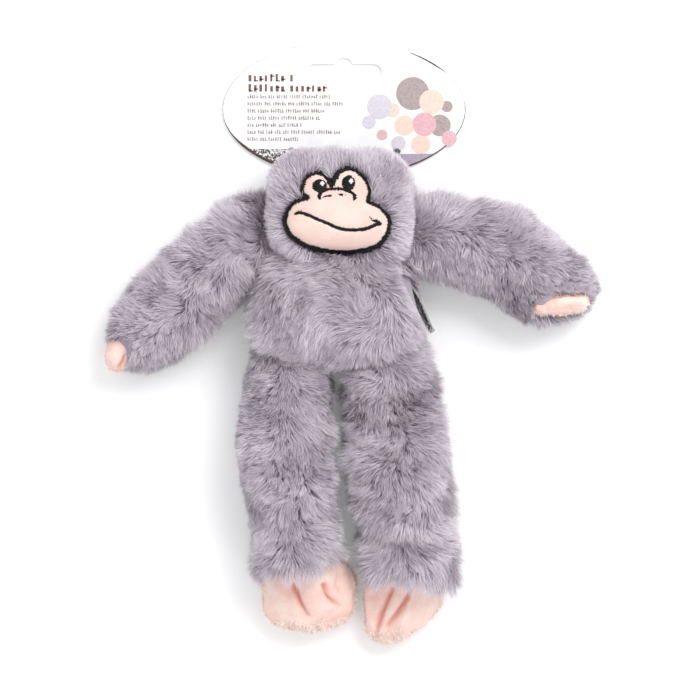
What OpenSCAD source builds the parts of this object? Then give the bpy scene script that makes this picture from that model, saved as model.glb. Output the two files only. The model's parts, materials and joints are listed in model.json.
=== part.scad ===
// Stuffed monkey of long-pile plush, lying on its back with its face up, and tied to its hang card.
// Head towards +Y, face and belly towards +Z, the surface that it lies on at Z = 0.
// "Right" and "left" are the monkey's own, so its right side lies at -X.
// Each fabric piece is a closed shell, and its filling is a separate solid inside it.

/* [Plush] */
// Thickness of the plush: its knitted backing with the pile pressed down
plush_t = 2.2; // [1.6:0.1:3]
// Thickness of the short-pile fabric of the palms, the feet and the face
pink_t = 1.2; // [0.8:0.1:2]
// Free gap between pieces that move on each other
move_gap = 0.4; // [0.3:0.1:1]
// Free gap between a cover and its filling
fill_gap = 0.2; // [0.1:0.05:0.5]

/* [Head] */
// Width of the head
head_w = 58; // [48:1:70]
// Height of the head, from chin to crown
head_h = 46; // [38:1:56]
// Depth of the head, from front to back
head_d = 45; // [38:1:54]
// Radius of the head's rounded corners
head_r = 15; // [11:0.5:18]
// Height of the head's back above the surface, where it lies on its card
head_lift = 2; // [1.8:0.1:4]

/* [Torso] */
// Width of the torso at the belly
belly_w = 62; // [52:1:74]
// Width of the torso at the shoulders
chest_w = 54; // [46:1:64]
// Length of the torso
torso_h = 60; // [52:1:72]
// Depth of the belly
belly_d = 44; // [38:1:50]
// Depth of the chest
chest_d = 32; // [28:1:36]

/* [Arms] */
// Radius of the arm where it is sewn to the torso
shoulder_r = 10; // [8:0.5:12]
// Radius of the arm at the elbow
elbow_r = 14.5; // [12:0.5:17]
// Radius of the arm at the wrist
wrist_r = 14; // [11:0.5:16]
// Radius of the hand's rounded end
hand_r = 11; // [9:0.5:13]
// Length from shoulder to elbow
upper_arm_len = 34; // [30:1:42]
// Length from elbow to wrist
forearm_len = 20; // [18:1:28]
// Length from wrist to the middle of the hand's end
hand_len = 9; // [7:0.5:14]

/* [Legs] */
// Radius of the leg where it is sewn to the torso
hip_r = 12; // [10:0.5:14]
// Radius of the leg at the knee
knee_r = 17; // [14:0.5:19]
// Radius of the leg at the ankle
ankle_r = 15; // [12:0.5:17]
// Length from hip to knee
thigh_len = 44; // [38:1:54]
// Length from knee to ankle
shin_len = 45; // [38:1:54]

/* [Feet] */
// Width of the foot across the toes
foot_w = 38; // [32:1:44]
// Length from the ankle to the ends of the toes
foot_len = 32; // [28:1:40]
// Depth of the toes
toe_d = 17; // [14:0.5:20]

/* [Hang card] */
// Width of the oval card
card_w = 103; // [90:1:130]
// Height of the oval card
card_h = 57.6; // [52:0.4:72]
// Thickness of the card
card_t = 0.5; // [0.4:0.1:1]
// Length of the hang slot
slot_w = 32; // [24:1:36]
// Height of the hang slot
slot_h = 7; // [5:0.5:9]
// Distance between the two tag pins
pin_pitch = 44.7; // [36:0.1:52]
// Radius of a tag pin's thread
pin_r = 0.4; // [0.3:0.05:0.6]
// Radius of the punched holes for the tag pins
pin_hole_r = 1.6; // [1.4:0.1:2.2]

/* [Squeaker] */
// Radius of the squeaker's bulb
bulb_r = 13; // [10:0.5:14]
// Thickness of the bulb
bulb_d = 12; // [10:0.5:14]
// Radius of the reed
reed_r = 4; // [3:0.25:5]

/* [Joints] */
// How far the head nods forward
nod_max = 25; // [10:1:30]
// How far an arm swings down beside the body
arm_down = 20; // [5:1:25]
// How far an arm swings up
arm_up = 30; // [10:1:35]
// How far an elbow bends up
elbow_max = 50; // [20:1:60]
// How far a wrist bends up
wrist_max = 35; // [15:1:45]
// How far a thigh lifts
hip_max = 40; // [20:1:45]
// How far a knee bends up
knee_max = 45; // [20:1:60]
// How far a foot bends up
ankle_max = 30; // [15:1:40]

/* [Hidden] */

$fn = 48;
HULL_FN = 24;
BIG = 400;
FUR = "#a89eae";
FUR_DARK = "#8f8695";
PINK = "#f2c4bc";
PEACH = "#f6dad2";
BLACK = "#141316";
FILLING = "#f4f2ee";

// Torso: two belly balls, two chest balls and one belly bulge, held in one skin
body_x = -5;
torso_top = 52;
torso_base = torso_top - torso_h;
chest_r = chest_d / 2;
belly_r = 20;
bulge_r = belly_d / 2;
side_seam_z = 19;

// Neck: the head meets the torso on a plane that leans back, and nods about the axis at neck
neck = [body_x, torso_top - 12, 30];
neck_lean = 25;

// Head
head_x = body_x + 1;
chin_y = neck.y - 7;
head_back_z = head_lift;
head_front_z = head_lift + head_d;
head_seam_z = head_back_z + head_d * 0.45;

// Arms: the heading of each piece, in degrees from +X
shoulder_out = 9.5;
shoulder_drop = 8;
shoulder_z = 15.5;
right_arm_dirs = [222, 225, 222];
left_arm_dirs = [-14, -38, -20];
elbow_ball = elbow_r - 1.5;
wrist_ball = wrist_r - 2;
// How far each hand is rolled about its own length, so that its palm faces down or sideways
right_hand_roll = 0;
left_hand_roll = -20;
palm_edge = hand_r * 0.35;

// Legs
hip_out = 19.5;
hip_in = 7;
left_hip_drop = 5;
hip_z = 16.5;
right_leg_dirs = [266, 277, 283];
left_leg_dirs = [277, 277, 265];
knee_ball = knee_r - 1.5;
ankle_ball = ankle_r - 2.5;
toe_r = toe_d / 2;
foot_seam_z = toe_r * 0.8;

function heading(a) = [cos(a), sin(a), 0];
function on_floor(p, r) = [p.x, p.y, r];
function flat(p) = [p.x, p.y, 0];
// Shoulder, elbow, wrist and hand end of an arm
function arm_points(side, dirs) =
    let (s = [body_x + side * (chest_w / 2 + shoulder_out), torso_top - shoulder_drop, shoulder_z],
        e = on_floor(s + upper_arm_len * heading(dirs[0]), elbow_r),
        w = on_floor(e + forearm_len * heading(dirs[1]), wrist_r),
        h = on_floor(w + hand_len * heading(dirs[2]), hand_r))
    [s, e, w, h];
// Hip, knee, ankle and toe end of a leg
function leg_points(side, dirs, drop) =
    let (h = [body_x + side * hip_out, torso_base + hip_in - drop, hip_z],
        k = on_floor(h + thigh_len * heading(dirs[0]), knee_r),
        a = on_floor(k + shin_len * heading(dirs[1]), ankle_r),
        t = on_floor(a + (foot_len - toe_r) * heading(dirs[2]), toe_r))
    [h, k, a, t];
right_arm = arm_points(-1, right_arm_dirs);
left_arm = arm_points(1, left_arm_dirs);
right_leg = leg_points(-1, right_leg_dirs, 0);
left_leg = leg_points(1, left_leg_dirs, left_hip_drop);

// Hang card: it lies behind the head, on the cross bars of its two tag pins
pin_y = chin_y + head_h + 1.5;
card_x = head_x + 1.5;
card_y = pin_y + 17.7;
bar_gap = 0.1;
card_z = 2 * pin_r + bar_gap;
slot_y = card_y + 15.7;
bump_r = 3.75;
bump_rise = 2.5;
pin_rise = 8;
pin_reach = 14;
bar_len = 5;
anchor_len = 7;

// The origin: under the middle of the whole object's box
x_low = right_arm[3].x - hand_r;
x_high = left_arm[3].x + hand_r;
y_low = min(right_leg[3].y, left_leg[3].y) - toe_r;
y_high = card_y + card_h / 2;
middle = [(x_low + x_high) / 2, (y_low + y_high) / 2, 0];

// ---- shared shapes

// Points +Z of its children from p towards q
module aim(p, q) {
    v = q - p;
    translate(p) rotate([0, acos(v.z / norm(v)), atan2(v.y, v.x)]) children();
}

// Sets its children at p, turned to the heading a
module turned(p, a) {
    translate(p) rotate([0, 0, a]) children();
}

// A round bar of changing thickness from p to q, with rounded or flat ends, rolled about its own length
module bar(p, q, rp, rq, round_p, round_q, roll = 0) {
    l = norm(q - p);
    low = round_p ? [for (t = [-90:15:0]) [rp * cos(t), rp * sin(t)]] : [[0, 0], [rp, 0]];
    high = round_q ? [for (t = [0:15:90]) [rq * cos(t), l + rq * sin(t)]] : [[rq, l], [0, l]];
    aim(p, q) rotate([0, 0, roll]) rotate_extrude() polygon([for (c = concat(low, high)) [max(0, c.x), c.y]]);
}

// All the space ahead of a joint's plane at p, and of that plane leaned back by half the bend
module ahead(p, a, bend, back) {
    translate(p) rotate([0, 0, a]) for (t = [0, bend / 2])
        rotate([0, -t, 0]) translate([-back, -BIG / 2, -BIG / 2]) cube(BIG);
}

// The same space behind the joint
module behind(p, a, bend, back) {
    translate(p) rotate([0, 0, a]) mirror([1, 0, 0]) for (t = [0, bend / 2])
        rotate([0, -t, 0]) translate([-back, -BIG / 2, -BIG / 2]) cube(BIG);
}

// A joint is [heading of its plane, bend, radius of its ball]. The piece before it carries the
// ball and the piece after it has the cup, so that they turn on each other with a gap.
module limb_piece(p, q, rp, rq, from, to, inset, roll = 0) {
    difference() {
        union() {
            difference() {
                bar(p, q, rp - inset, rq - inset, is_undef(from), is_undef(to), roll);
                if (!is_undef(to)) ahead(q, to[0], to[1], move_gap / 2 + inset);
            }
            if (!is_undef(to)) turned(q, to[0]) sphere(r = to[2] - inset);
        }
        if (!is_undef(from)) {
            behind(p, from[0], from[1], move_gap / 2 + inset);
            turned(p, from[0]) sphere(r = from[2] + move_gap + inset);
        }
    }
}

module limb_sleeve(p, q, rp, rq, from, to, roll = 0) {
    difference() {
        limb_piece(p, q, rp, rq, from, to, 0, roll);
        limb_piece(p, q, rp, rq, from, to, plush_t, roll);
    }
}

module limb_filling(p, q, rp, rq, from, to) {
    limb_piece(p, q, rp, rq, from, to, plush_t + fill_gap);
}

module ball_hull(centres) {
    hull() for (c = centres) translate([c[0], c[1], c[2]]) sphere(r = c[3], $fn = HULL_FN);
}

// ---- torso

module torso_form(inset) {
    belly_y = torso_base + belly_r;
    chest_y = torso_top - chest_r;
    belly_x = belly_w / 2 - belly_r;
    chest_x = chest_w / 2 - chest_r;
    ball_hull([
        [body_x - belly_x, belly_y, belly_r, belly_r - inset], [body_x + belly_x, belly_y, belly_r, belly_r - inset],
        [body_x - chest_x, chest_y, chest_r, chest_r - inset], [body_x + chest_x, chest_y, chest_r, chest_r - inset],
        [body_x, torso_base + bulge_r, bulge_r, bulge_r - inset]]);
}

// The space above the leaning plane at the neck
module above_neck(back) {
    translate(neck) rotate([neck_lean, 0, 0]) translate([-BIG / 2, -back, -BIG / 2]) cube(BIG);
}

// The room that an arm's root needs as it swings, with a ball of more room at the pivot
module arm_room(side, points, inset) {
    s = points[0];
    translate(s) sphere(r = shoulder_r + 2 * move_gap + inset);
    for (swing = [-arm_down, 0, arm_up]) translate(s) rotate([0, 0, side * swing]) translate(-s)
        bar(s, points[1], shoulder_r + move_gap + inset, elbow_r + move_gap + inset, true, true);
}

// The room that a thigh's root needs as it lifts: widest where it rests
module thigh_room(points, inset) {
    h = points[0];
    for (i = [0:2]) translate(h) rotate([-i * hip_max / 2, 0, 0]) translate(-h) {
        room = (2 - i / 2) * move_gap + inset;
        bar(h, points[1], hip_r + room, knee_r + room, true, true);
    }
}

module torso_solid(inset) {
    difference() {
        torso_form(inset);
        above_neck(move_gap / 2 + inset);
        arm_room(-1, right_arm, inset);
        arm_room(1, left_arm, inset);
        thigh_room(right_leg, inset);
        thigh_room(left_leg, inset);
    }
}

module torso_shell() {
    difference() {
        torso_solid(0);
        torso_solid(plush_t);
    }
}

module torso_front() {
    color(FUR) intersection() {
        torso_shell();
        translate([-BIG / 2, -BIG / 2, side_seam_z]) cube(BIG);
    }
}

module torso_back() {
    color(FUR_DARK) intersection() {
        torso_shell();
        translate([-BIG / 2, -BIG / 2, side_seam_z - BIG]) cube(BIG);
    }
}

squeaker_at = [body_x + 1, torso_base + 28, side_seam_z - 1];

// The bulb's outside: a flat round cushion
module bulb_form(grow) {
    rim = bulb_d / 2;
    translate(squeaker_at) rotate_extrude() intersection() {
        union() {
            translate([bulb_r - rim, 0]) circle(r = rim + grow);
            translate([0, -rim - grow]) square([bulb_r - rim, bulb_d + 2 * grow]);
        }
        translate([0, -BIG / 2]) square(BIG);
    }
}

module torso_filling() {
    color(FILLING) difference() {
        torso_solid(plush_t + fill_gap);
        bulb_form(fill_gap);
    }
}

bulb_wall = 1;
module squeaker_bulb() {
    color("#d9d5cc") difference() {
        bulb_form(0);
        bulb_form(-bulb_wall);
        translate(squeaker_at) cylinder(r = reed_r + fill_gap / 2, h = bulb_d);
    }
}

module squeaker_reed() {
    color("white") translate(squeaker_at) difference() {
        cylinder(r = reed_r, h = bulb_d / 2);
        translate([0, 0, 1]) cylinder(r = reed_r - 1, h = bulb_d);
    }
}

label_len = 24;
label_w = 12;
label_t = 0.6;
label_turn = -65;
label_root = [body_x + belly_w / 2 - 2.5, torso_base + 33, side_seam_z - label_w / 2 - 3];
module side_label() {
    color("white") translate(label_root) rotate([0, 0, label_turn]) cube([label_len, label_t, label_w]);
}

// ---- head

module head_form(inset) {
    ball_hull([for (x = [-1, 1], y = [0, 1], z = [0, 1])
        [head_x + x * (head_w / 2 - head_r), chin_y + head_r + y * (head_h - 2 * head_r),
            head_back_z + head_r + z * (head_d - 2 * head_r), head_r - inset]]);
}

// The space that the head keeps clear of: below the neck's plane, and where the chin comes down
module below_chin(back) {
    translate(neck) for (t = [0, nod_max]) difference() {
        rotate([neck_lean - t, 0, 0]) translate([-BIG / 2, back - BIG, -BIG / 2]) cube(BIG);
        if (t > 0) translate([-BIG, -BIG, -2 * BIG - back]) cube([2 * BIG, 2 * BIG, 2 * BIG]);
    }
}

module head_solid(inset) {
    difference() {
        head_form(inset);
        below_chin(move_gap / 2 + inset);
        arm_room(-1, right_arm, inset);
        arm_room(1, left_arm, inset);
    }
}

module head_shell() {
    difference() {
        head_solid(0);
        head_solid(plush_t);
    }
}

module head_front() {
    color(FUR) intersection() {
        head_shell();
        translate([-BIG / 2, -BIG / 2, head_seam_z]) cube(BIG);
    }
}

module head_back() {
    color(FUR_DARK) intersection() {
        head_shell();
        translate([-BIG / 2, -BIG / 2, head_seam_z - BIG]) cube(BIG);
    }
}

module head_filling() {
    color(FILLING) head_solid(plush_t + fill_gap);
}

// ---- face: a peach patch on the head's front, with embroidery on it
// Places are measured from the middle of the muzzle.
muzzle_at = [head_x - 1.5, chin_y + 16.5, 0];
muzzle_w = 44;
muzzle_h = 25;
right_brow = [-8.5, 15, 6.5];
left_brow = [5.5, 15, 8.2];
right_eye_at = [-7, 15, 2.9];
left_eye_at = [5, 16, 2.8];
stitch_w = 1.9;
stitch_t = 0.6;
stitch_gap = 0.1;

// A shape drawn on the face, cut from the layer between two depths over the plush
module on_face(low, high) {
    intersection() {
        difference() {
            head_form(-high);
            head_form(-low);
        }
        translate(muzzle_at + [0, 0, head_front_z - head_r]) linear_extrude(BIG / 4) children();
    }
}

// A rounded oblong, fuller than an ellipse
module oblong(w, h) {
    n = 2.3;
    polygon([for (t = [0:6:354]) [w / 2 * sign(cos(t)) * pow(abs(cos(t)), 2 / n),
        h / 2 * sign(sin(t)) * pow(abs(sin(t)), 2 / n)]]);
}

module disc(c, inset) {
    translate([c[0], c[1]]) circle(r = c[2] - inset);
}

module face_outline(inset) {
    oblong(muzzle_w - 2 * inset, muzzle_h - 2 * inset);
    disc(right_brow, inset);
    disc(left_brow, inset);
}

// A line of stitches through a list of points
module stitched(points, w) {
    for (p = points) translate(p) circle(d = w, $fn = 16);
    for (i = [1:len(points) - 1])
        let (a = points[i - 1], b = points[i])
        translate(a) rotate(atan2(b.y - a.y, b.x - a.x)) translate([0, -w / 2]) square([norm(b - a), w]);
}

module face_patch() {
    color(PEACH) on_face(0, pink_t) face_outline(stitch_w / 2);
}

module face_border() {
    color(BLACK) on_face(0, pink_t + stitch_t) difference() {
        face_outline(-stitch_w / 2);
        face_outline(stitch_w / 2);
    }
}

module eye_right() {
    color(BLACK) on_face(pink_t, pink_t + stitch_t) disc(right_eye_at, 0);
}

module eye_left() {
    color(BLACK) on_face(pink_t, pink_t + stitch_t) disc(left_eye_at, 0);
}

glint = [1.1, 0.8, 0.9];
module eye_glints() {
    color("white") on_face(pink_t + stitch_t, pink_t + 2 * stitch_t)
        for (e = [right_eye_at, left_eye_at]) disc([e[0] + glint[0], e[1] + glint[1], glint[2]], 0);
}

// The line over the nose stops short of the border, and the nostrils are under it
module nose_stitching() {
    color(BLACK) on_face(pink_t, pink_t + stitch_t) {
        intersection() {
            stitched([[-6.5, 9.3], [-6, 10.4], [-2.5, 11.6], [0.5, 11.8], [4.5, 11.2], [6.5, 10], [6.5, 8.8]], 1.2);
            face_outline(stitch_w / 2 + stitch_gap);
        }
        stitched([[-4.6, 8.6], [-2.2, 9.2]], 1);
        stitched([[1, 9.4], [3.4, 8.8]], 1);
    }
}

module mouth_stitching() {
    color(BLACK) on_face(pink_t, pink_t + stitch_t) {
        stitched([[-17, 3.2], [-15.5, 4], [-11.5, 2.5], [-5.5, 0.5], [0.5, -2], [5.5, -3], [11.5, -2.5],
            [16, -1.3], [18.3, -0.6]], 1.4);
        stitched([[13.5, 2.3], [18.3, -0.6]], 1.4);
    }
}

// ---- arms

function elbow(dirs) = [(dirs[0] + dirs[1]) / 2, elbow_max, elbow_ball];
function wrist(dirs) = [(dirs[1] + dirs[2]) / 2, wrist_max, wrist_ball];

module upper_arm_sleeve(p, dirs) {
    color(FUR) limb_sleeve(p[0], p[1], shoulder_r, elbow_r, undef, elbow(dirs));
}

module upper_arm_filling(p, dirs) {
    color(FILLING) limb_filling(p[0], p[1], shoulder_r, elbow_r, undef, elbow(dirs));
}

module forearm_sleeve(p, dirs) {
    color(FUR) limb_sleeve(p[1], p[2], elbow_r, wrist_r, elbow(dirs), wrist(dirs));
}

module forearm_filling(p, dirs) {
    color(FILLING) limb_filling(p[1], p[2], elbow_r, wrist_r, elbow(dirs), wrist(dirs));
}

// The part of the space on the palm's side of a hand (side = 1), or the rest of it (side = 0)
module hand_side(p, roll, side) {
    aim(p[2], p[3]) rotate([0, 0, roll]) translate([palm_edge - (1 - side) * BIG, -BIG / 2, -BIG / 2]) cube(BIG);
}

module hand_back(p, dirs, roll) {
    color(FUR) difference() {
        limb_sleeve(p[2], p[3], wrist_r, hand_r, wrist(dirs), undef, roll);
        hand_side(p, roll, 1);
    }
}

module palm(p, dirs, roll) {
    color(PINK) difference() {
        limb_sleeve(p[2], p[3], wrist_r, hand_r, wrist(dirs), undef, roll);
        hand_side(p, roll, 0);
    }
}

module hand_filling(p, dirs) {
    color(FILLING) limb_filling(p[2], p[3], wrist_r, hand_r, wrist(dirs), undef);
}

// ---- legs

function knee(dirs) = [(dirs[0] + dirs[1]) / 2, knee_max, knee_ball];
function ankle(dirs) = [(dirs[1] + dirs[2]) / 2, ankle_max, ankle_ball];

module thigh_sleeve(p, dirs) {
    color(FUR) limb_sleeve(p[0], p[1], hip_r, knee_r, undef, knee(dirs));
}

module thigh_filling(p, dirs) {
    color(FILLING) limb_filling(p[0], p[1], hip_r, knee_r, undef, knee(dirs));
}

module shin_sleeve(p, dirs) {
    color(FUR) limb_sleeve(p[1], p[2], knee_r, ankle_r, knee(dirs), ankle(dirs));
}

module shin_filling(p, dirs) {
    color(FILLING) limb_filling(p[1], p[2], knee_r, ankle_r, knee(dirs), ankle(dirs));
}

// A foot: a ball at the ankle that spreads and flattens into the toes
module foot_form(p, dirs, inset) {
    across = heading(dirs[2] + 90) * (foot_w / 2 - toe_r);
    difference() {
        ball_hull([[p[2].x, p[2].y, p[2].z, ankle_r - inset],
            for (s = [-1, 1]) let (t = p[3] + s * across) [t.x, t.y, t.z, toe_r - inset],
            for (s = [-1, 1]) let (t = p[3] + s * across * 0.8 - toe_r * heading(dirs[2]))
                [t.x, t.y, toe_r * 1.15, toe_r * 1.15 - inset]]);
        behind(p[2], ankle(dirs)[0], ankle_max, move_gap / 2 + inset);
        turned(p[2], ankle(dirs)[0]) sphere(r = ankle_ball + move_gap + inset);
    }
}

module foot_shell(p, dirs) {
    difference() {
        foot_form(p, dirs, 0);
        foot_form(p, dirs, pink_t);
    }
}

module foot_top(p, dirs) {
    color(PINK) intersection() {
        foot_shell(p, dirs);
        translate([-BIG / 2, -BIG / 2, foot_seam_z]) cube(BIG);
    }
}

module foot_sole(p, dirs) {
    color(PINK) intersection() {
        foot_shell(p, dirs);
        translate([-BIG / 2, -BIG / 2, foot_seam_z - BIG]) cube(BIG);
    }
}

module foot_filling(p, dirs) {
    color(FILLING) foot_form(p, dirs, pink_t + fill_gap);
}

// ---- hang card and its pins

pins = [card_x - pin_pitch / 2, card_x + pin_pitch / 2];

// A hang slot with a rounded rise in the middle of its upper edge
module slot_outline() {
    square([slot_w - slot_h, slot_h], center = true);
    for (s = [-1, 1]) translate([s * (slot_w - slot_h) / 2, 0]) circle(d = slot_h);
    translate([0, bump_rise]) circle(r = bump_r);
}

module hang_card() {
    color("white") translate([0, 0, card_z]) linear_extrude(card_t) difference() {
        translate([card_x, card_y]) polygon([for (t = [0:5:355]) [card_w / 2 * cos(t), card_h / 2 * sin(t)]]);
        translate([card_x, slot_y]) slot_outline();
        for (x = pins) translate([x, pin_y]) circle(r = pin_hole_r);
    }
}

// A plastic thread with a cross bar behind the card and another inside the head
module tag_pin(x) {
    base = [x, pin_y, pin_r];
    bend = base + [0, 0, pin_rise];
    end = bend + [0, -pin_reach, 0];
    color("#8a8a90") {
        translate(base - [bar_len / 2, 0, 0]) rotate([0, 90, 0]) cylinder(r = pin_r, h = bar_len);
        bar(base, bend, pin_r, pin_r, false, false);
        translate(bend) sphere(r = pin_r * 1.2);
        bar(bend, end, pin_r, pin_r, false, false);
        translate(end - [anchor_len / 2, 0, 0]) rotate([0, 90, 0]) cylinder(r = pin_r * 1.5, h = anchor_len);
    }
}

// ---- the pieces, moved so that the origin is under the middle

translate(-middle) {
    torso_front();
    torso_back();
    torso_filling();
    squeaker_bulb();
    squeaker_reed();
    side_label();

    head_front();
    head_back();
    head_filling();
    face_patch();
    face_border();
    eye_right();
    eye_left();
    eye_glints();
    nose_stitching();
    mouth_stitching();

    upper_arm_sleeve(right_arm, right_arm_dirs);  // right_upper_arm_sleeve
    upper_arm_filling(right_arm, right_arm_dirs);  // right_upper_arm_filling
    forearm_sleeve(right_arm, right_arm_dirs);  // right_forearm_sleeve
    forearm_filling(right_arm, right_arm_dirs);  // right_forearm_filling
    hand_back(right_arm, right_arm_dirs, right_hand_roll);  // right_hand_back
    palm(right_arm, right_arm_dirs, right_hand_roll);  // right_palm
    hand_filling(right_arm, right_arm_dirs);  // right_hand_filling

    upper_arm_sleeve(left_arm, left_arm_dirs);  // left_upper_arm_sleeve
    upper_arm_filling(left_arm, left_arm_dirs);  // left_upper_arm_filling
    forearm_sleeve(left_arm, left_arm_dirs);  // left_forearm_sleeve
    forearm_filling(left_arm, left_arm_dirs);  // left_forearm_filling
    hand_back(left_arm, left_arm_dirs, left_hand_roll);  // left_hand_back
    palm(left_arm, left_arm_dirs, left_hand_roll);  // left_palm
    hand_filling(left_arm, left_arm_dirs);  // left_hand_filling

    thigh_sleeve(right_leg, right_leg_dirs);  // right_thigh_sleeve
    thigh_filling(right_leg, right_leg_dirs);  // right_thigh_filling
    shin_sleeve(right_leg, right_leg_dirs);  // right_shin_sleeve
    shin_filling(right_leg, right_leg_dirs);  // right_shin_filling
    foot_top(right_leg, right_leg_dirs);  // right_foot_top
    foot_sole(right_leg, right_leg_dirs);  // right_foot_sole
    foot_filling(right_leg, right_leg_dirs);  // right_foot_filling

    thigh_sleeve(left_leg, left_leg_dirs);  // left_thigh_sleeve
    thigh_filling(left_leg, left_leg_dirs);  // left_thigh_filling
    shin_sleeve(left_leg, left_leg_dirs);  // left_shin_sleeve
    shin_filling(left_leg, left_leg_dirs);  // left_shin_filling
    foot_top(left_leg, left_leg_dirs);  // left_foot_top
    foot_sole(left_leg, left_leg_dirs);  // left_foot_sole
    foot_filling(left_leg, left_leg_dirs);  // left_foot_filling

    hang_card();
    tag_pin(pins[0]);  // tag_pin_right
    tag_pin(pins[1]);  // tag_pin_left
}
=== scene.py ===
import json
import math
import bmesh
import bpy
import numpy as np
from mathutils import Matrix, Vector
from mathutils.bvhtree import BVHTree
from mathutils.kdtree import KDTree

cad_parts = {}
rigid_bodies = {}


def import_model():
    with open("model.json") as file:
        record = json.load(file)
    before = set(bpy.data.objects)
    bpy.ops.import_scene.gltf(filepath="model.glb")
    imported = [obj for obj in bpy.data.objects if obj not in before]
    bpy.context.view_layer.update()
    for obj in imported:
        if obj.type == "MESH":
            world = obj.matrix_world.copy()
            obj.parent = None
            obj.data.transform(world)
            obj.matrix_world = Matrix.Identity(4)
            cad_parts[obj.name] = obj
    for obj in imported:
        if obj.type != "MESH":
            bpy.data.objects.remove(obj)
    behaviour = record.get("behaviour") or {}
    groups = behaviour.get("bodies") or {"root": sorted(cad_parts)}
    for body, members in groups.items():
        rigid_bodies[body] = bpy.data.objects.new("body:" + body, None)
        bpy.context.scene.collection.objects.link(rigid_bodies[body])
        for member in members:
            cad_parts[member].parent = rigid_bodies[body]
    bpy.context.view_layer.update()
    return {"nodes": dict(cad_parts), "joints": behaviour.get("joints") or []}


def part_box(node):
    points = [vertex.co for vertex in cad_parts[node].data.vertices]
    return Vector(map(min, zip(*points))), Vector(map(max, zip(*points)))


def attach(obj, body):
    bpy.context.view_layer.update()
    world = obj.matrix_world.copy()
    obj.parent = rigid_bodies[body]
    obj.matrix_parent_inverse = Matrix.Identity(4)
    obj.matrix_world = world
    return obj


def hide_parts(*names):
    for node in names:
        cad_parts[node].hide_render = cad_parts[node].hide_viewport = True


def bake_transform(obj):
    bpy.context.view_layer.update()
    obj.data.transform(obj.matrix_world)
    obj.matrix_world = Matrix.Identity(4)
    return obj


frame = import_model()
scene = bpy.context.scene
nodes = frame["nodes"]
MM = 0.001
joint_at = {joint["name"]: Vector(joint["pos_m"]) / MM for joint in frame["joints"]}


def span(*names):
    """Lowest and highest corner, in mm, of the box round some CAD nodes."""
    boxes = [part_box(name) for name in names]
    low = np.min([corner[0] for corner in boxes], axis=0) / MM
    high = np.max([corner[1] for corner in boxes], axis=0) / MM
    return low, high


# ======================================================================================
# Torso: two panels of knitted plush backing, sewn down each side, turned and stuffed.
# The seams are held while the filling presses the cloth out between them, so the sides
# pull in and the belly crowns.

BALL_POINTS = 220
GOLDEN_ANGLE = math.pi * (3 - math.sqrt(5))


def ball_points(radius):
    """Points spread evenly over a ball, along a spiral from pole to pole."""
    height = 1 - 2 * (np.arange(BALL_POINTS) + 0.5) / BALL_POINTS
    turn = GOLDEN_ANGLE * np.arange(BALL_POINTS)
    ring = np.sqrt(1 - height**2)
    return radius * np.stack([ring * np.cos(turn), ring * np.sin(turn), height], axis=1)


def add_hull(bm, balls):
    """Adds the skin stretched round some balls, each given as (centre, radius) in mm."""
    made = []
    for centre, radius in balls:
        for point in ball_points(radius) + np.array(centre):
            made.append(bm.verts.new(point * MM))
    result = bmesh.ops.convex_hull(bm, input=made)
    inner = result["geom_interior"] + result["geom_unused"]
    spare = {part for part in inner if isinstance(part, bmesh.types.BMVert)}
    bmesh.ops.delete(bm, geom=list(spare), context="VERTS")


def object_from(name, bm):
    """A new object from a mesh in the making, which it uses up."""
    mesh = bpy.data.meshes.new(name)
    bm.to_mesh(mesh)
    bm.free()
    obj = bpy.data.objects.new(name, mesh)
    scene.collection.objects.link(obj)
    return obj


def shaded(obj, smooth):
    """Shades all of a piece's facets smooth, or all of them flat."""
    obj.data.polygons.foreach_set("use_smooth", [smooth] * len(obj.data.polygons))


def applied(obj):
    """Takes the object's modifiers into its mesh."""
    graph = bpy.context.evaluated_depsgraph_get()
    mesh = bpy.data.meshes.new_from_object(obj.evaluated_get(graph), depsgraph=graph)
    old = obj.data
    obj.modifiers.clear()
    obj.data = mesh
    mesh.name = obj.name
    bpy.data.meshes.remove(old)


def closed_form(name, hulls, voxel_mm, smoothing):
    """One closed skin round several overlapping hulls, as even small facets."""
    bm = bmesh.new()
    for balls in hulls:
        add_hull(bm, balls)
    obj = object_from(name, bm)
    remesh = obj.modifiers.new("voxels", "REMESH")
    remesh.mode = "VOXEL"
    remesh.voxel_size = voxel_mm * MM
    smooth = obj.modifiers.new("smooth", "SMOOTH")
    smooth.iterations = smoothing
    applied(obj)
    return obj


def points_of(obj):
    """Where a mesh's points are, in metres."""
    co = np.zeros(len(obj.data.vertices) * 3)
    obj.data.vertices.foreach_get("co", co)
    return co.reshape(-1, 3)


def normals_of(obj):
    """A mesh's smooth normals, one for each point."""
    normals = np.zeros(len(obj.data.vertices) * 3)
    obj.data.vertices.foreach_get("normal", normals)
    return normals.reshape(-1, 3)


def set_points(obj, co):
    """Moves a mesh's points."""
    obj.data.vertices.foreach_set("co", co.astype(np.float32).ravel())
    obj.data.update()


CLOTH_MASS = 0.05
CLOTH_STRETCH = 8
CLOTH_BENDING = 0.15


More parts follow.
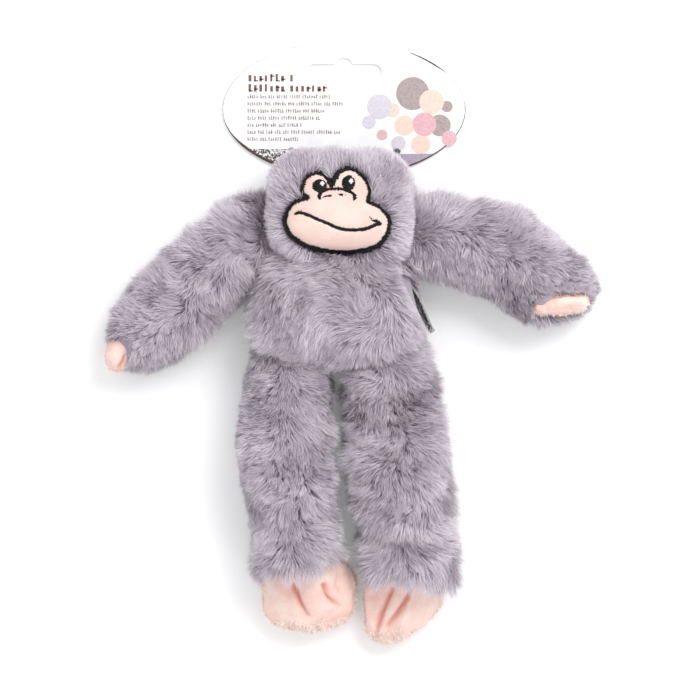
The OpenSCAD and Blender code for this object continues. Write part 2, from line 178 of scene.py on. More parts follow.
def stuffed(obj, held, slack, pressure, cap_mm, frames=14):
    """Fills a sewn skin: cloth a little larger than its form, blown out, with its seams held."""
    start = points_of(obj)
    seam = obj.vertex_groups.new(name="seam")
    seam.add([int(i) for i in np.flatnonzero(held(start / MM))], 1.0, "REPLACE")
    cloth = obj.modifiers.new("cloth", "CLOTH")
    settings = cloth.settings
    settings.quality = 5
    settings.mass = CLOTH_MASS
    settings.tension_stiffness = CLOTH_STRETCH
    settings.compression_stiffness = CLOTH_STRETCH
    settings.bending_stiffness = CLOTH_BENDING
    settings.use_pressure = True
    settings.uniform_pressure_force = pressure
    settings.shrink_min = -slack
    settings.vertex_group_mass = "seam"
    settings.effector_weights.gravity = 0
    cloth.point_cache.frame_start = 1
    cloth.point_cache.frame_end = frames
    for step in range(1, frames + 1):
        scene.frame_set(step)
    graph = bpy.context.evaluated_depsgraph_get()
    result = obj.evaluated_get(graph)
    moved = np.zeros(len(start) * 3)
    result.data.vertices.foreach_get("co", moved)
    shift = moved.reshape(-1, 3) - start
    reach = np.linalg.norm(shift, axis=1, keepdims=True)
    shift *= np.minimum(1, cap_mm * MM / np.maximum(reach, 1e-9))
    obj.modifiers.clear()
    obj.vertex_groups.clear()
    scene.frame_set(1)
    set_points(obj, start + shift)


RESTS_AT = 0.1


def finer(obj, levels=1):
    """Subdivides a skin, lays it flat where it rests on the floor, and shades it smooth."""
    divide = obj.modifiers.new("finer", "SUBSURF")
    divide.levels = levels
    applied(obj)
    co = points_of(obj)
    co[:, 2] = np.maximum(co[:, 2], RESTS_AT * MM)
    set_points(obj, co)
    shaded(obj, True)


torso_low, torso_high = span("torso_front", "torso_back")
torso_mid = (torso_low + torso_high) / 2
BELLY_R = 20.0
CHEST_R = 15.0
BULGE_R = 21.5
BELLY_OUT = 13.0
CHEST_OUT = 13.0
SKIN_GAP = 0.8
belly_y = torso_low[1] + BELLY_R
chest_y = torso_high[1] - CHEST_R
torso_plush = closed_form("torso_plush", [[
    ((torso_mid[0] - BELLY_OUT, belly_y, BELLY_R + SKIN_GAP), BELLY_R),
    ((torso_mid[0] + BELLY_OUT, belly_y, BELLY_R + SKIN_GAP), BELLY_R),
    ((torso_mid[0] - CHEST_OUT, chest_y, CHEST_R + SKIN_GAP), CHEST_R),
    ((torso_mid[0] + CHEST_OUT, chest_y, CHEST_R + SKIN_GAP), CHEST_R),
    ((torso_mid[0], belly_y + 2, BULGE_R + SKIN_GAP), BULGE_R),
]], voxel_mm=3.5, smoothing=2)
SIDE_SEAM_Z = 19.0
SEAM_HALF = 1.8
stuffed(torso_plush, lambda p: abs(p[:, 2] - SIDE_SEAM_Z) < SEAM_HALF, 0.04, 3.0, 2.0)
finer(torso_plush)


def srgb(code):
    """A hex colour, as the linear values that a shader takes."""
    parts = [int(code[i:i + 2], 16) / 255 for i in (1, 3, 5)]
    return [c / 12.92 if c <= 0.04045 else ((c + 0.055) / 1.055) ** 2.4 for c in parts] + [1.0]


def add(tree, kind, settings, sockets, stops=()):
    """Adds a shader node. A socket takes a constant, or the output that feeds it, and a colour ramp
    takes (place, hex colour) stops."""
    node = tree.nodes.new("ShaderNode" + kind)
    for key, value in settings.items():
        setattr(node, key, value)
    for key, value in sockets.items():
        if isinstance(value, bpy.types.NodeSocket):
            tree.links.new(value, node.inputs[key])
        else:
            node.inputs[key].default_value = value
    for i, (place, code) in enumerate(stops):
        elements = node.color_ramp.elements
        element = elements[i] if i < len(elements) else elements.new(place)
        element.position = place
        element.color = srgb(code)
    return node


def finish_of(name, **sockets):
    """A new material with its one Principled shader, set from constants."""
    made = bpy.data.materials.new(name)
    made.use_nodes = True
    shader = made.node_tree.nodes["Principled BSDF"]
    for key, value in sockets.items():
        shader.inputs[key.replace("_", " ")].default_value = value
    return made, made.node_tree, shader


# Knitted polyester backing: dull, a shade darker than the pile, with its rows of loops
# 0.9 mm apart just seen where the pile parts.
KNIT_ROW = 0.9
BACKING_CLOUD = 6.25
plush_backing, tree, shader = finish_of(
    "knitted_polyester_backing", Roughness=0.95, Sheen_Weight=0.3)
where = add(tree, "TexCoord", {}, {}).outputs["Object"]
rows = add(tree, "TexWave", {"wave_type": "BANDS", "bands_direction": "Y"},
           {"Vector": where, "Scale": 1 / (KNIT_ROW * MM) / math.tau,
            "Distortion": 1.5, "Detail": 2.0})
cloud = add(tree, "TexNoise", {}, {"Vector": where, "Scale": 1 / (BACKING_CLOUD * MM), "Detail": 3.0})
colour = add(tree, "ValToRGB", {}, {"Fac": cloud.outputs["Fac"]}, [(0.3, "#a296a2"), (0.7, "#b5a9b5")])
tree.links.new(colour.outputs["Color"], shader.inputs["Base Color"])
bump = add(tree, "Bump", {}, {"Height": rows.outputs["Fac"], "Strength": 0.4, "Distance": 0.2 * MM})
tree.links.new(bump.outputs["Normal"], shader.inputs["Normal"])


def fibre_finish(name, dark, pale, **sockets):
    """A fibre's material. Its colour runs from root to tip through (place, hex colour) stops, and
    each fibre lies somewhere between the darkest and the palest of its kind."""
    made, tree, shader = finish_of(name, **sockets)
    shade = add(tree, "Attribute", {"attribute_name": "shade"}, {}).outputs["Fac"]
    along = add(tree, "Attribute", {"attribute_name": "along"}, {}).outputs["Fac"]
    dark, pale = (add(tree, "ValToRGB", {}, {"Fac": along}, stops).outputs["Color"]
                  for stops in (dark, pale))
    mixed = add(tree, "Mix", {"data_type": "RGBA"}, {0: shade, 6: dark, 7: pale})
    tree.links.new(mixed.outputs[2], shader.inputs["Base Color"])
    return made


# Long polyester pile, crimped and cut: lilac-grey and denser at the root. Its colour runs from
# painted shade at the root to painted highlight on the pale silky tips. Each fibre has its own shade.
pile_fibre = fibre_finish(
    "polyester_pile",
    dark=[(0.0, "#a89ba7"), (0.5, "#bbaeba"), (1.0, "#ccc1cb")],
    pale=[(0.0, "#c3b7c2"), (0.5, "#e6dce5"), (1.0, "#fffbfd")],
    Roughness=0.5, Specular_IOR_Level=0.35, Sheen_Weight=0.35, Sheen_Roughness=0.4)

# A fibre is drawn as one ribbon far wider than the real one, so that it shows: two steps
# from root to tip, and its width at the first two of its three places.
LEVELS = np.array([0.0, 0.5, 1.0])
RIBBON_WIDTHS = np.array([0.9, 1.0])
RIBBON_CORNERS = np.array([0, 1, 3, 2, 2, 3, 4])
RIBBON_STARTS = np.array([0, 4])
RIBBON_POINTS = 5
SWIRL_WAVES = 7
SWIRL_EVENS = 2.6


def swirl(points, size_mm, seed):
    """Smooth noise over space, about -1 to 1, with features of about one size."""
    chance = np.random.default_rng(seed)
    waves = chance.normal(size=(SWIRL_WAVES, 3))
    size = math.tau / (size_mm * MM) * chance.uniform(0.6, 1.3, SWIRL_WAVES)
    waves *= (size / np.linalg.norm(waves, axis=1))[:, None]
    start = chance.uniform(0, math.tau, SWIRL_WAVES)
    return np.sin(points @ waves.T + start).sum(axis=1) / SWIRL_EVENS


def unit(vectors):
    """Vectors brought to length 1."""
    return vectors / np.maximum(np.linalg.norm(vectors, axis=1, keepdims=True), 1e-9)


def laid(comb, normal):
    """Ways to comb, laid flat on the skin."""
    return unit(comb - (comb * normal).sum(axis=1, keepdims=True) * normal)


def roots_on(obj, per_mm2, chance):
    """Places spread evenly over a skin, with its smooth normals there."""
    mesh = obj.data
    mesh.calc_loop_triangles()
    corners = np.zeros(len(mesh.loop_triangles) * 3, dtype=np.int32)
    mesh.loop_triangles.foreach_get("vertices", corners)
    corners = corners.reshape(-1, 3)
    co, normals = points_of(obj), normals_of(obj)
    a, b, c = (co[corners[:, i]] for i in range(3))
    size = np.linalg.norm(np.cross(b - a, c - a), axis=1) / 2
    count = int(size.sum() / MM**2 * per_mm2)
    pick = chance.choice(len(size), count, p=size / size.sum())
    u, v = chance.random((2, count, 1))
    u, v = np.where(u + v > 1, 1 - u, u), np.where(u + v > 1, 1 - v, v)
    weights = np.concatenate([1 - u - v, u, v], axis=1)
    place = np.einsum("nk,nkd->nd", weights, co[corners[pick]])
    return place, unit(np.einsum("nk,nkd->nd", weights, normals[corners[pick]]))


def buried(points, skin):
    """Which of the points lie inside another closed skin."""
    tree = BVHTree.FromObject(skin, bpy.context.evaluated_depsgraph_get())
    low = points_of(skin).min(axis=0)
    high = points_of(skin).max(axis=0)
    inside = ((points > low) & (points < high)).all(axis=1)
    for i in np.flatnonzero(inside):
        near, normal, _, _ = tree.find_nearest(Vector(points[i]))
        inside[i] = (Vector(points[i]) - near).dot(normal) < 0
    return inside


ROOT_LEAN, MORE_LEAN = 0.5, 0.8
STRAY = 0.45


def fibres(place, normal, comb, length_mm, lean, chance, tuft_share, pull):
    """Centre lines of the fibres: each bends over along the comb, and tufts draw together at
    their tips."""
    count = len(place)
    sideways = laid(comb, normal)
    lines = [place]
    for i in range(len(LEVELS) - 1):
        angle = (lean * (ROOT_LEAN + MORE_LEAN * (LEVELS[i] + LEVELS[i + 1]) / 2))[:, None]
        step = (length_mm * MM * (LEVELS[i + 1] - LEVELS[i]))[:, None]
        lines.append(lines[-1] + step * (normal * np.cos(angle) + sideways * np.sin(angle)))
    lines = np.stack(lines, axis=1)
    tufts = chance.choice(count, max(1, int(count * tuft_share)), replace=False)
    tree = KDTree(len(tufts))
    for i, tuft in enumerate(tufts):
        tree.insert(place[tuft], i)
    tree.balance()
    owner = np.array([tree.find(p)[1] for p in place])
    strength = chance.uniform(*pull, len(tufts))[owner]
    share = (LEVELS**1.3)[None, :, None] * strength[:, None, None]
    stray = chance.normal(size=(count, 3)) * STRAY * MM
    lines += share * (lines[tufts][owner] - lines)
    lines += (LEVELS**1.5)[None, :, None] * stray[:, None, :]
    tuft_shade = chance.normal(size=len(tufts))[owner]
    return lines, tuft_shade


MOST_TWIST = 0.9


def strand_mesh(name, lines, facing, width_mm, shade, chance, fibre):
    """The fibres as narrow ribbons that taper to a point, each turned a little about its length."""
    count = len(lines)
    run = np.diff(lines, axis=1)
    run = np.concatenate([run, run[:, -1:]], axis=1)
    twist = chance.uniform(-MOST_TWIST, MOST_TWIST, count)
    points = np.zeros((count, RIBBON_POINTS, 3))
    for i, share in enumerate(RIBBON_WIDTHS):
        flat = unit(np.cross(run[:, i], facing))
        edge = np.cross(unit(run[:, i]), flat)
        side = flat * np.cos(twist)[:, None] + edge * np.sin(twist)[:, None]
        half = (width_mm * MM * share / 2)[:, None]
        points[:, 2 * i] = lines[:, i] - side * half
        points[:, 2 * i + 1] = lines[:, i] + side * half
    points[:, 4] = lines[:, 2]
    first = np.arange(count)[:, None]
    mesh = bpy.data.meshes.new(name)
    mesh.vertices.add(count * RIBBON_POINTS)
    mesh.loops.add(count * len(RIBBON_CORNERS))
    mesh.polygons.add(count * len(RIBBON_STARTS))
    mesh.vertices.foreach_set("co", points.astype(np.float32).ravel())
    corner = (first * RIBBON_POINTS + RIBBON_CORNERS).ravel()
    mesh.loops.foreach_set("vertex_index", corner.astype(np.int32))
    start = (first * len(RIBBON_CORNERS) + RIBBON_STARTS).ravel()
    mesh.polygons.foreach_set("loop_start", start.astype(np.int32))
    mesh.update(calc_edges=True)
    along = np.tile([LEVELS[i // 2] for i in range(RIBBON_POINTS)], count)
    each = np.repeat(np.clip(shade, 0.02, 0.98), RIBBON_POINTS)
    for label, values in (("shade", each), ("along", along)):
        attribute = mesh.attributes.new(label, "FLOAT", "POINT")
        attribute.data.foreach_set("value", values.astype(np.float32))
    layer = mesh.uv_layers.new(name="OFBake")
    uv = np.stack([each[corner], 0.02 + 0.96 * along[corner]], axis=1)
    layer.data.foreach_set("uv", uv.astype(np.float32).ravel())
    mesh.materials.append(fibre)
    obj = bpy.data.objects.new(name, mesh)
    scene.collection.objects.link(obj)
    shaded(obj, True)
    return obj


FLOOR_CLEAR = 0.3
UNDERSIDE = -0.35
UNDER_SHARE = 0.55
SHEEN_PATCH_MM = 14
LEAN_MM = 16
LEAN_DRIFT = 12
LEAN_CHANCE = 8
LONG_LEAN = 50
PARTED_TO = 0.45
SHADE_MID = 0.46
SHEEN_PATCH_SHADE = 0.13
SHADE_TUFT = 0.13
SHADE_CHANCE = 0.16


def grown(skin, others, style, comb_of, bare=None, floor_of=None, clear_of=None):
    """Pile on one skin: its fibres' centre lines, facings, widths and shades, clear of the other
    skins and the floor. Fibres that crowd something or hide it are cut short, and go if they
    still hide it."""
    chance = np.random.default_rng(style["seed"])
    place, normal = roots_on(skin, style["per_mm2"], chance)
    keep = chance.random(len(place)) < np.where(normal[:, 2] < UNDERSIDE, UNDER_SHARE, 1.0)
    for other in others:
        keep &= ~buried(place, other)
    if bare is not None:
        keep &= ~bare(place, normal)
    place, normal = place[keep], normal[keep]
    comb, shorter = comb_of(place, normal)
    turn = style["swirl"] * swirl(place, style["swirl_mm"], style["seed"] + 1)
    turn += chance.normal(size=len(place)) * style["unruly"]
    across = np.cross(normal, comb)
    comb = comb * np.cos(turn)[:, None] + across * np.sin(turn)[:, None]
    # Broad patches in which the pile is longer or shorter, and paler or darker as painted sheen.
    sheen_and_length_patches = swirl(place, SHEEN_PATCH_MM, style["seed"] + 2)
    length = style["length"] * shorter * (1 + 0.14 * sheen_and_length_patches) * chance.uniform(0.75, 1.1, len(place))
    lean = style["lean"] + LEAN_DRIFT * swirl(place, LEAN_MM, style["seed"] + 3)
    lean += chance.normal(size=len(place)) * LEAN_CHANCE
    lean += LONG_LEAN * np.clip(shorter - 1, 0, 0.4)
    lean = np.clip(np.radians(lean), 0.15, 1.35)
    lines, tuft_shade = fibres(place, normal, comb, length, lean, chance,
                               style["clumps"], style["pull"])
    floor = np.full(len(place), FLOOR_CLEAR * MM) if floor_of is None else floor_of(place)
    low = floor[:, None] + 0.2 * MM * chance.random((len(place), 1))
    lines[:, :, 2] = np.maximum(lines[:, :, 2], low)
    # Each fibre's shade: painted sheen in broad patches, with its tuft's and its own random shade.
    shade = SHADE_MID + SHEEN_PATCH_SHADE * sheen_and_length_patches + SHADE_TUFT * tuft_shade
    shade += SHADE_CHANCE * chance.normal(size=len(place))
    width = style["width"] * chance.uniform(0.75, 1.25, len(place))
    keep = np.ones(len(lines), dtype=bool)
    if clear_of is not None:
        crowding, hiding = clear_of(lines)
        over = crowding | hiding
        lines[over] = lines[over, :1] + PARTED_TO * (lines[over] - lines[over, :1])
        keep = ~clear_of(lines)[1]
    return {"lines": lines[keep], "facing": normal[keep], "shade": shade[keep],
            "width": width[keep], "chance": chance}


def pile_piece(name, pile, chosen):
    """The chosen fibres of a pile, as one piece."""
    made = strand_mesh(name, pile["lines"][chosen], pile["facing"][chosen], pile["width"][chosen],
                       pile["shade"][chosen], pile["chance"], pile_fibre)
    return made


torso_plush.data.materials.append(plush_backing)
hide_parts("torso_front", "torso_back")
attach(torso_plush, "torso")


# ======================================================================================
# Torso filling: loose polyester fibre, white and matt, with soft lumps a few mm across.
# The same fibre fills the head and the limbs.

LUMP = 4.0
polyester_fibre, tree, shader = finish_of("polyester_fibre_filling", Roughness=1.0, Sheen_Weight=0.4)
where = add(tree, "TexCoord", {}, {}).outputs["Object"]
lumps = add(tree, "TexNoise", {},
            {"Vector": where, "Scale": 1 / (LUMP * MM), "Detail": 8.0, "Roughness": 0.75})
colour = add(tree, "ValToRGB", {}, {"Fac": lumps.outputs["Fac"]}, [(0.3, "#d9d6d0"), (0.7, "#fbfaf7")])
tree.links.new(colour.outputs["Color"], shader.inputs["Base Color"])
bump = add(tree, "Bump", {}, {"Height": lumps.outputs["Fac"], "Strength": 0.9, "Distance": 1.2 * MM})
tree.links.new(bump.outputs["Normal"], shader.inputs["Normal"])


def refinish(node, finish):
    """Gives a CAD node its real finish."""
    for place in nodes[node].material_slots:
        place.material = finish


def fibre_fill(skin, name, inset_mm, node):
    """The fibre inside a skin: the skin's own form drawn in a little, in place of a CAD filling."""
    fill = skin.copy()
    fill.data = skin.data.copy()
    fill.name = name
    set_points(fill, points_of(fill) - normals_of(fill) * inset_mm * MM)
    fill.data.materials.clear()
    fill.data.materials.append(polyester_fibre)
    scene.collection.objects.link(fill)
    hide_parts(node)
    return fill


refinish("torso_filling", polyester_fibre)


# ======================================================================================
# Squeaker: a blow-moulded polyethylene bulb with a hard polypropylene reed pushed into
# its neck. It floats in the torso's filling.


def mottled(name, spot_mm, *stops, detail=3.0, **sockets):
    """A material whose colour drifts through (place, hex colour) stops, in spots of one size."""
    made, tree, shader = finish_of(name, **sockets)
    where = add(tree, "TexCoord", {}, {}).outputs["Object"]
    spots = add(tree, "TexNoise", {}, {"Vector": where, "Scale": 1 / (spot_mm * MM), "Detail": detail})
    colour = add(tree, "ValToRGB", {}, {"Fac": spots.outputs["Fac"]}, stops)
    tree.links.new(colour.outputs["Color"], shader.inputs["Base Color"])
    return made


# Polyethylene is waxy and lets a little light in. Polypropylene is harder and glossier.
soft_polyethylene = mottled(
    "soft_polyethylene", 6, (0.3, "#d2cdc2"), (0.7, "#e4e0d7"), detail=4.0,
    Roughness=0.42, IOR=1.51, Subsurface_Weight=0.2, Subsurface_Scale=1.5 * MM)
refinish("squeaker_bulb", soft_polyethylene)
hard_polypropylene = mottled(
    "hard_polypropylene", 2, (0.3, "#ecebe6"), (0.7, "#f8f7f4"), detail=2.0, Roughness=0.3, IOR=1.49)
refinish("squeaker_reed", hard_polypropylene)


# ======================================================================================
# Arms: each is one long sleeve of the same plush, sewn shut round its hand and into the
# side seam at the shoulder, and stuffed softly so that it flops at the elbow and wrist.
# A sleeve is cut between its joints into pieces.

def heading_of(a, b):
    """The level way from one place to another."""
    step = b - a
    step.z = 0
    return step.normalized()


def cut_between(obj, name, start, end):
    """A closed slice of a skin between two planes, each given as (point in mm, outward
    direction) or None."""
    bm = bmesh.new()
    bm.from_mesh(obj.data)
    for plane in (start, end):
        if plane is None:
            continue
        everything = bm.verts[:] + bm.edges[:] + bm.faces[:]
        cut = bmesh.ops.bisect_plane(bm, geom=everything, plane_co=Vector(plane[0]) * MM,
                                     plane_no=plane[1], clear_outer=True)
        rim = [edge for edge in cut["geom_cut"] if isinstance(edge, bmesh.types.BMEdge)]
        bmesh.ops.holes_fill(bm, edges=rim, sides=0)
    bmesh.ops.recalc_face_normals(bm, faces=bm.faces)
    piece = object_from(name, bm)
    shaded(piece, True)
    piece.data.materials.append(plush_backing)
    return piece


FILL_IN = 1.2


def limb_pieces(skin, pile, joints, stop=None):
    """Cuts a limb's skin and its pile at the middles between its joints, into one piece for each
    joint."""
    cuts = []
    for near, far in zip(joints, joints[1:]):
        cuts.append(((near["at"] + far["at"]) / 2, heading_of(near["at"], far["at"])))
    roots = pile["lines"][:, 0] / MM
    for i, joint in enumerate(joints):
        start = (cuts[i - 1][0], -cuts[i - 1][1]) if i else None
        end = cuts[i] if i < len(cuts) else stop
        piece = cut_between(skin, joint["name"] + "_plush", start, end)
        parts = [piece]
        if joint["filling"]:
            parts.append(fibre_fill(piece, joint["name"] + "_fill", FILL_IN, joint["filling"]))
        chosen = np.ones(len(roots), dtype=bool)
        for plane in (start, end):
            if plane is not None:
                chosen &= (roots - np.array(plane[0])) @ np.array(plane[1]) <= 0
        parts.append(pile_piece(joint["name"] + "_pile", pile, chosen))
        for made in parts:
            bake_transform(made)
        if joint["node"]:
            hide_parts(joint["node"])
    bpy.data.objects.remove(skin)


def end_of(node, base, reach):
    """Where a limb's rounded end has its middle: on from its last joint towards its CAD node."""
    low, high = span(node)
    return base + heading_of(base, Vector((low + high) / 2)) * reach


def limb_joint(side, joint, parent, child, along, half, sleeve=None, filling=None):
    """One joint of a limb: its two bodies, its place, the way along the limb, half the length of
    its bend in mm, and the CAD cloth and filling that its piece stands for."""
    return {"name": f"{side}_{joint}", "at": joint_at[f"{side}_{joint}"], "along": along, "half": half,
            "parent": parent if parent == "torso" else f"{side}_{parent}", "child": f"{side}_{child}",
            "node": sleeve and f"{side}_{sleeve}", "filling": filling and f"{side}_{filling}"}


SHOULDER_R = 12.5
ELBOW_R = 15.5
WRIST_R = 14.5
HAND_R = 12.0
HAND_REACH = 9.5
SKIN_IN = 0.8
SLEEVE_SEAM_HALF = 1.6
arms = {}
for side in ("right", "left"):
    shoulder, elbow, wrist = (joint_at[f"{side}_{joint}"] for joint in ("shoulder", "elbow", "wrist"))
    tip = end_of(f"{side}_hand_back", wrist, HAND_REACH)
    tip.z = HAND_R + SKIN_IN
    skin = closed_form(f"{side}_arm_skin", [
        [(shoulder, SHOULDER_R), (elbow, ELBOW_R - SKIN_IN)],
        [(elbow, ELBOW_R - SKIN_IN), (wrist, WRIST_R - SKIN_IN)],
        [(wrist, WRIST_R - SKIN_IN), (tip, HAND_R - SKIN_IN)],
    ], voxel_mm=3.0, smoothing=3)
    stuffed(skin, lambda p, z=elbow.z: abs(p[:, 2] - z) < SLEEVE_SEAM_HALF, 0.05, 3.0, 1.6)
    finer(skin)
    arms[side] = {"skin": skin, "points": (shoulder, elbow, wrist, tip)}


# ======================================================================================
# Legs: the same sleeves, longer and fuller at the knee, closed round the pink feet.

HIP_R = 13.5
KNEE_R = 17.5
ANKLE_R = 15.0
CUFF_REACH = 2.5
legs = {}
for side in ("right", "left"):
    hip, knee, ankle = (joint_at[f"{side}_{joint}"] for joint in ("hip", "knee", "ankle"))
    cuff = end_of(f"{side}_foot_top", ankle, CUFF_REACH)
    skin = closed_form(f"{side}_leg_skin", [
        [(hip, HIP_R), (knee, KNEE_R - SKIN_IN)],
        [(knee, KNEE_R - SKIN_IN), (ankle, ANKLE_R - SKIN_IN)],
    ], voxel_mm=3.0, smoothing=3)
    stuffed(skin, lambda p, z=knee.z: abs(p[:, 2] - z) < SLEEVE_SEAM_HALF, 0.05, 3.0, 1.6)
    finer(skin)
    legs[side] = {"skin": skin, "points": (hip, knee, ankle, cuff)}


# ======================================================================================
# Head: a squarish bag of plush with full cheeks, sewn to the top of the torso. It nods
# about the neck.

head_low, head_high = span("head_front", "head_back")
HEAD_IN = 1.2
CORNER_R = 14.0
HEAD_HEIGHT = 46.0
chin_y = head_high[1] - HEAD_HEIGHT
corners = []
for x in (head_low[0] + HEAD_IN + CORNER_R, head_high[0] - HEAD_IN - CORNER_R):
    for y in (chin_y + HEAD_IN + CORNER_R, head_high[1] - HEAD_IN - CORNER_R):
        for z in (head_low[2] + HEAD_IN + CORNER_R, head_high[2] - HEAD_IN - CORNER_R):
            corners.append(((x, y, z), CORNER_R))
head_plush = closed_form("head_plush", [corners], voxel_mm=3.2, smoothing=2)
HEAD_SEAM_Z = 22.0
stuffed(head_plush, lambda p: abs(p[:, 2] - HEAD_SEAM_Z) < SEAM_HALF, 0.02, 2.0, 0.8)
finer(head_plush)
head_plush.data.materials.append(plush_backing)


# ======================================================================================
# Face: a patch of peach fleece laid on the head's front and satin-stitched round its
# edge, with eyes, nose and mouth worked on it in the same black rayon. Its places are
# in mm from the middle of the muzzle.

BORDER_HALF = 0.9
MUZZLE_DOWN = 10.5
patch_low, patch_high = span("face_patch")
face_at = np.array([(patch_low[0] + patch_high[0]) / 2 + 0.1, patch_low[1] + MUZZLE_DOWN])


def curve_through(points, closed, step=0.3):
    """A smooth line through a few points, sampled every step."""
    p = np.array(points, dtype=float)
    if closed:
        p = np.concatenate([p[-1:], p, p[:2]])
    else:
        p = np.concatenate([2 * p[:1] - p[1:2], p, 2 * p[-1:] - p[-2:-1]])
    made = []
    for a, b, c, d in zip(p, p[1:], p[2:], p[3:]):
        count = max(2, int(np.linalg.norm(c - b) / step))
        t = (np.arange(count) / count)[:, None]
        made.append(0.5 * (2 * b + (c - a) * t + (2 * a - 5 * b + 4 * c - d) * t**2
                           + (3 * b - a - 3 * c + d) * t**3))
    if not closed:
        made.append(p[-2:-1])
    return np.concatenate(made)


# Each line is worked through places (across, up, width of its stitching).
RIGHT_BROW = [(-11.5, 10.0, 1.7), (-13.9, 11.9, 1.8), (-14.1, 14.6, 1.3), (-12.6, 18.0, 1.2),
              (-9.2, 20.1, 1.2), (-5.6, 19.7, 1.7), (-3.4, 17.5, 2.2), (-2.3, 14.7, 1.4)]
LEFT_BROW = [(-2.3, 14.7, 1.4), (-1.1, 17.4, 2.2), (1.1, 20.4, 2.1), (4.2, 21.8, 1.7), (8.0, 20.9, 1.5),
             (11.6, 17.6, 1.5), (13.5, 13.4, 1.6), (12.5, 8.7, 1.6)]
MUZZLE = [(12.5, 8.7, 1.4), (17.6, 6.2, 1.5), (21.0, 1.8, 1.5), (20.6, -3.6, 1.8), (17.2, -8.4, 2.2),
          (11.9, -10.4, 1.9), (1.7, -11.2, 1.8), (-8.6, -10.1, 2.1), (-15.9, -7.1, 2.3), (-20.1, -2.5, 2.2),
          (-20.6, 3.0, 1.8), (-17.4, 8.1, 1.4), (-11.5, 10.0, 1.5)]
muzzle_edge = curve_through(MUZZLE, False)
right_brow_edge = curve_through(RIGHT_BROW, False)
left_brow_edge = curve_through(LEFT_BROW, False)
border = np.concatenate([right_brow_edge, left_brow_edge, muzzle_edge])
NOSE = [(-6.9, 9.5, 1.5), (-7.2, 11.3, 2.1), (-5.9, 12.8, 2.0), (-3.6, 13.5, 1.1), (-0.5, 13.8, 1.1),
        (2.4, 13.5, 1.6), (5.0, 12.7, 1.9), (6.9, 11.5, 1.6), (7.3, 10.5, 2.1), (6.9, 9.1, 1.3)]
NOSTRILS = [[(-5.8, 10.3, 1.0), (-3.9, 10.8, 1.0), (-2.1, 11.0, 0.8)],
            [(0.5, 11.6, 1.0), (2.0, 11.2, 1.3), (3.6, 11.3, 1.0)]]
MOUTH = [(-16.8, 3.5, 1.2), (-15.4, 4.2, 1.6), (-12.9, 3.6, 1.8), (-7.5, 1.3, 1.9), (-3.8, -0.3, 1.9),
         (0.0, -1.8, 1.9), (4.0, -2.7, 1.9), (8.5, -2.8, 1.9), (12.7, -2.1, 1.9), (16.0, -0.7, 2.0),
         (18.0, -0.5, 1.3)]
SMILE_HOOK = [(13.4, 2.5, 0.9), (14.5, 1.1, 1.2), (16.0, 0.7, 2.0), (17.8, -0.4, 1.3)]
# An eye is an oval (across, up, half its width, half its height). A glint is (across and up
# from its eye's middle, radius).
EYES = {"right": (-7.0, 14.9, 3.0, 2.5), "left": (4.8, 15.9, 2.8, 3.0)}
GLINT = (1.05, 0.8, 0.85)


def within(outline, uv):
    """Which points lie inside a closed outline."""
    inside = np.zeros(len(uv), dtype=bool)
    for (x0, y0), (x1, y1) in zip(outline, np.roll(outline, -1, axis=0)):
        crosses = (y0 > uv[:, 1]) != (y1 > uv[:, 1])
        if crosses.any():
            at = x0 + (uv[:, 1] - y0) / (y1 - y0 if y1 != y0 else 1e-9) * (x1 - x0)
            inside ^= crosses & (uv[:, 0] < at)
    return inside


def distance_to(line, uv):
    """How far each point is from the nearest of a line's samples."""
    return np.sqrt(((uv[:, None] - line[None]) ** 2).sum(axis=2)).min(axis=1)


head_surface = BVHTree.FromObject(head_plush, bpy.context.evaluated_depsgraph_get())
ABOVE_HEAD = 200.0


def face_point(u, v, height_mm):
    """The place over the head's front at (u, v), a height above its cloth."""
    x, y = face_at[0] + u, face_at[1] + v
    above = Vector((x, y, ABOVE_HEAD)) * MM
    hit, normal, _, _ = head_surface.ray_cast(above, Vector((0, 0, -1)))
    return hit + normal * height_mm * MM


def smooth_piece(name, bm, finish, slot, *stands_for):
    """A smooth piece from its mesh, with its finish and the CAD nodes that it stands for."""
    bmesh.ops.recalc_face_normals(bm, faces=bm.faces)
    made = object_from(name, bm)
    shaded(made, True)
    made.data.materials.append(finish)
    if stands_for:
        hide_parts(*stands_for)
    return made


# Peach fleece: a short, dense, brushed pile with no shine, a little pinker round the nose
# than at the jaw.
FACE_CLOUD = 11.1
FACE_NAP = 0.35
face_fleece, tree, shader = finish_of(
    "peach_brushed_fleece", Roughness=0.9, Sheen_Weight=0.5, Sheen_Roughness=0.5,
    Specular_IOR_Level=0.2)
where = add(tree, "TexCoord", {}, {}).outputs["Object"]
cloud = add(tree, "TexNoise", {}, {"Vector": where, "Scale": 1 / (FACE_CLOUD * MM), "Detail": 4.0})
nap = add(tree, "TexNoise", {}, {"Vector": where, "Scale": 1 / (FACE_NAP * MM), "Detail": 2.0})
soft = add(tree, "ValToRGB", {}, {"Fac": cloud.outputs["Fac"]}, [(0.35, "#efcfc5"), (0.65, "#f3ded4")])
grain = add(tree, "ValToRGB", {}, {"Fac": nap.outputs["Fac"]}, [(0.3, "#f0dcd5"), (0.7, "#ffffff")])
mixed = add(tree, "Mix", {"data_type": "RGBA", "blend_type": "MULTIPLY"},
            {0: 0.6, 6: soft.outputs["Color"], 7: grain.outputs["Color"]})
tree.links.new(mixed.outputs[2], shader.inputs["Base Color"])
bump = add(tree, "Bump", {}, {"Height": nap.outputs["Fac"], "Strength": 0.35, "Distance": 0.25 * MM})
tree.links.new(bump.outputs["Normal"], shader.inputs["Normal"])

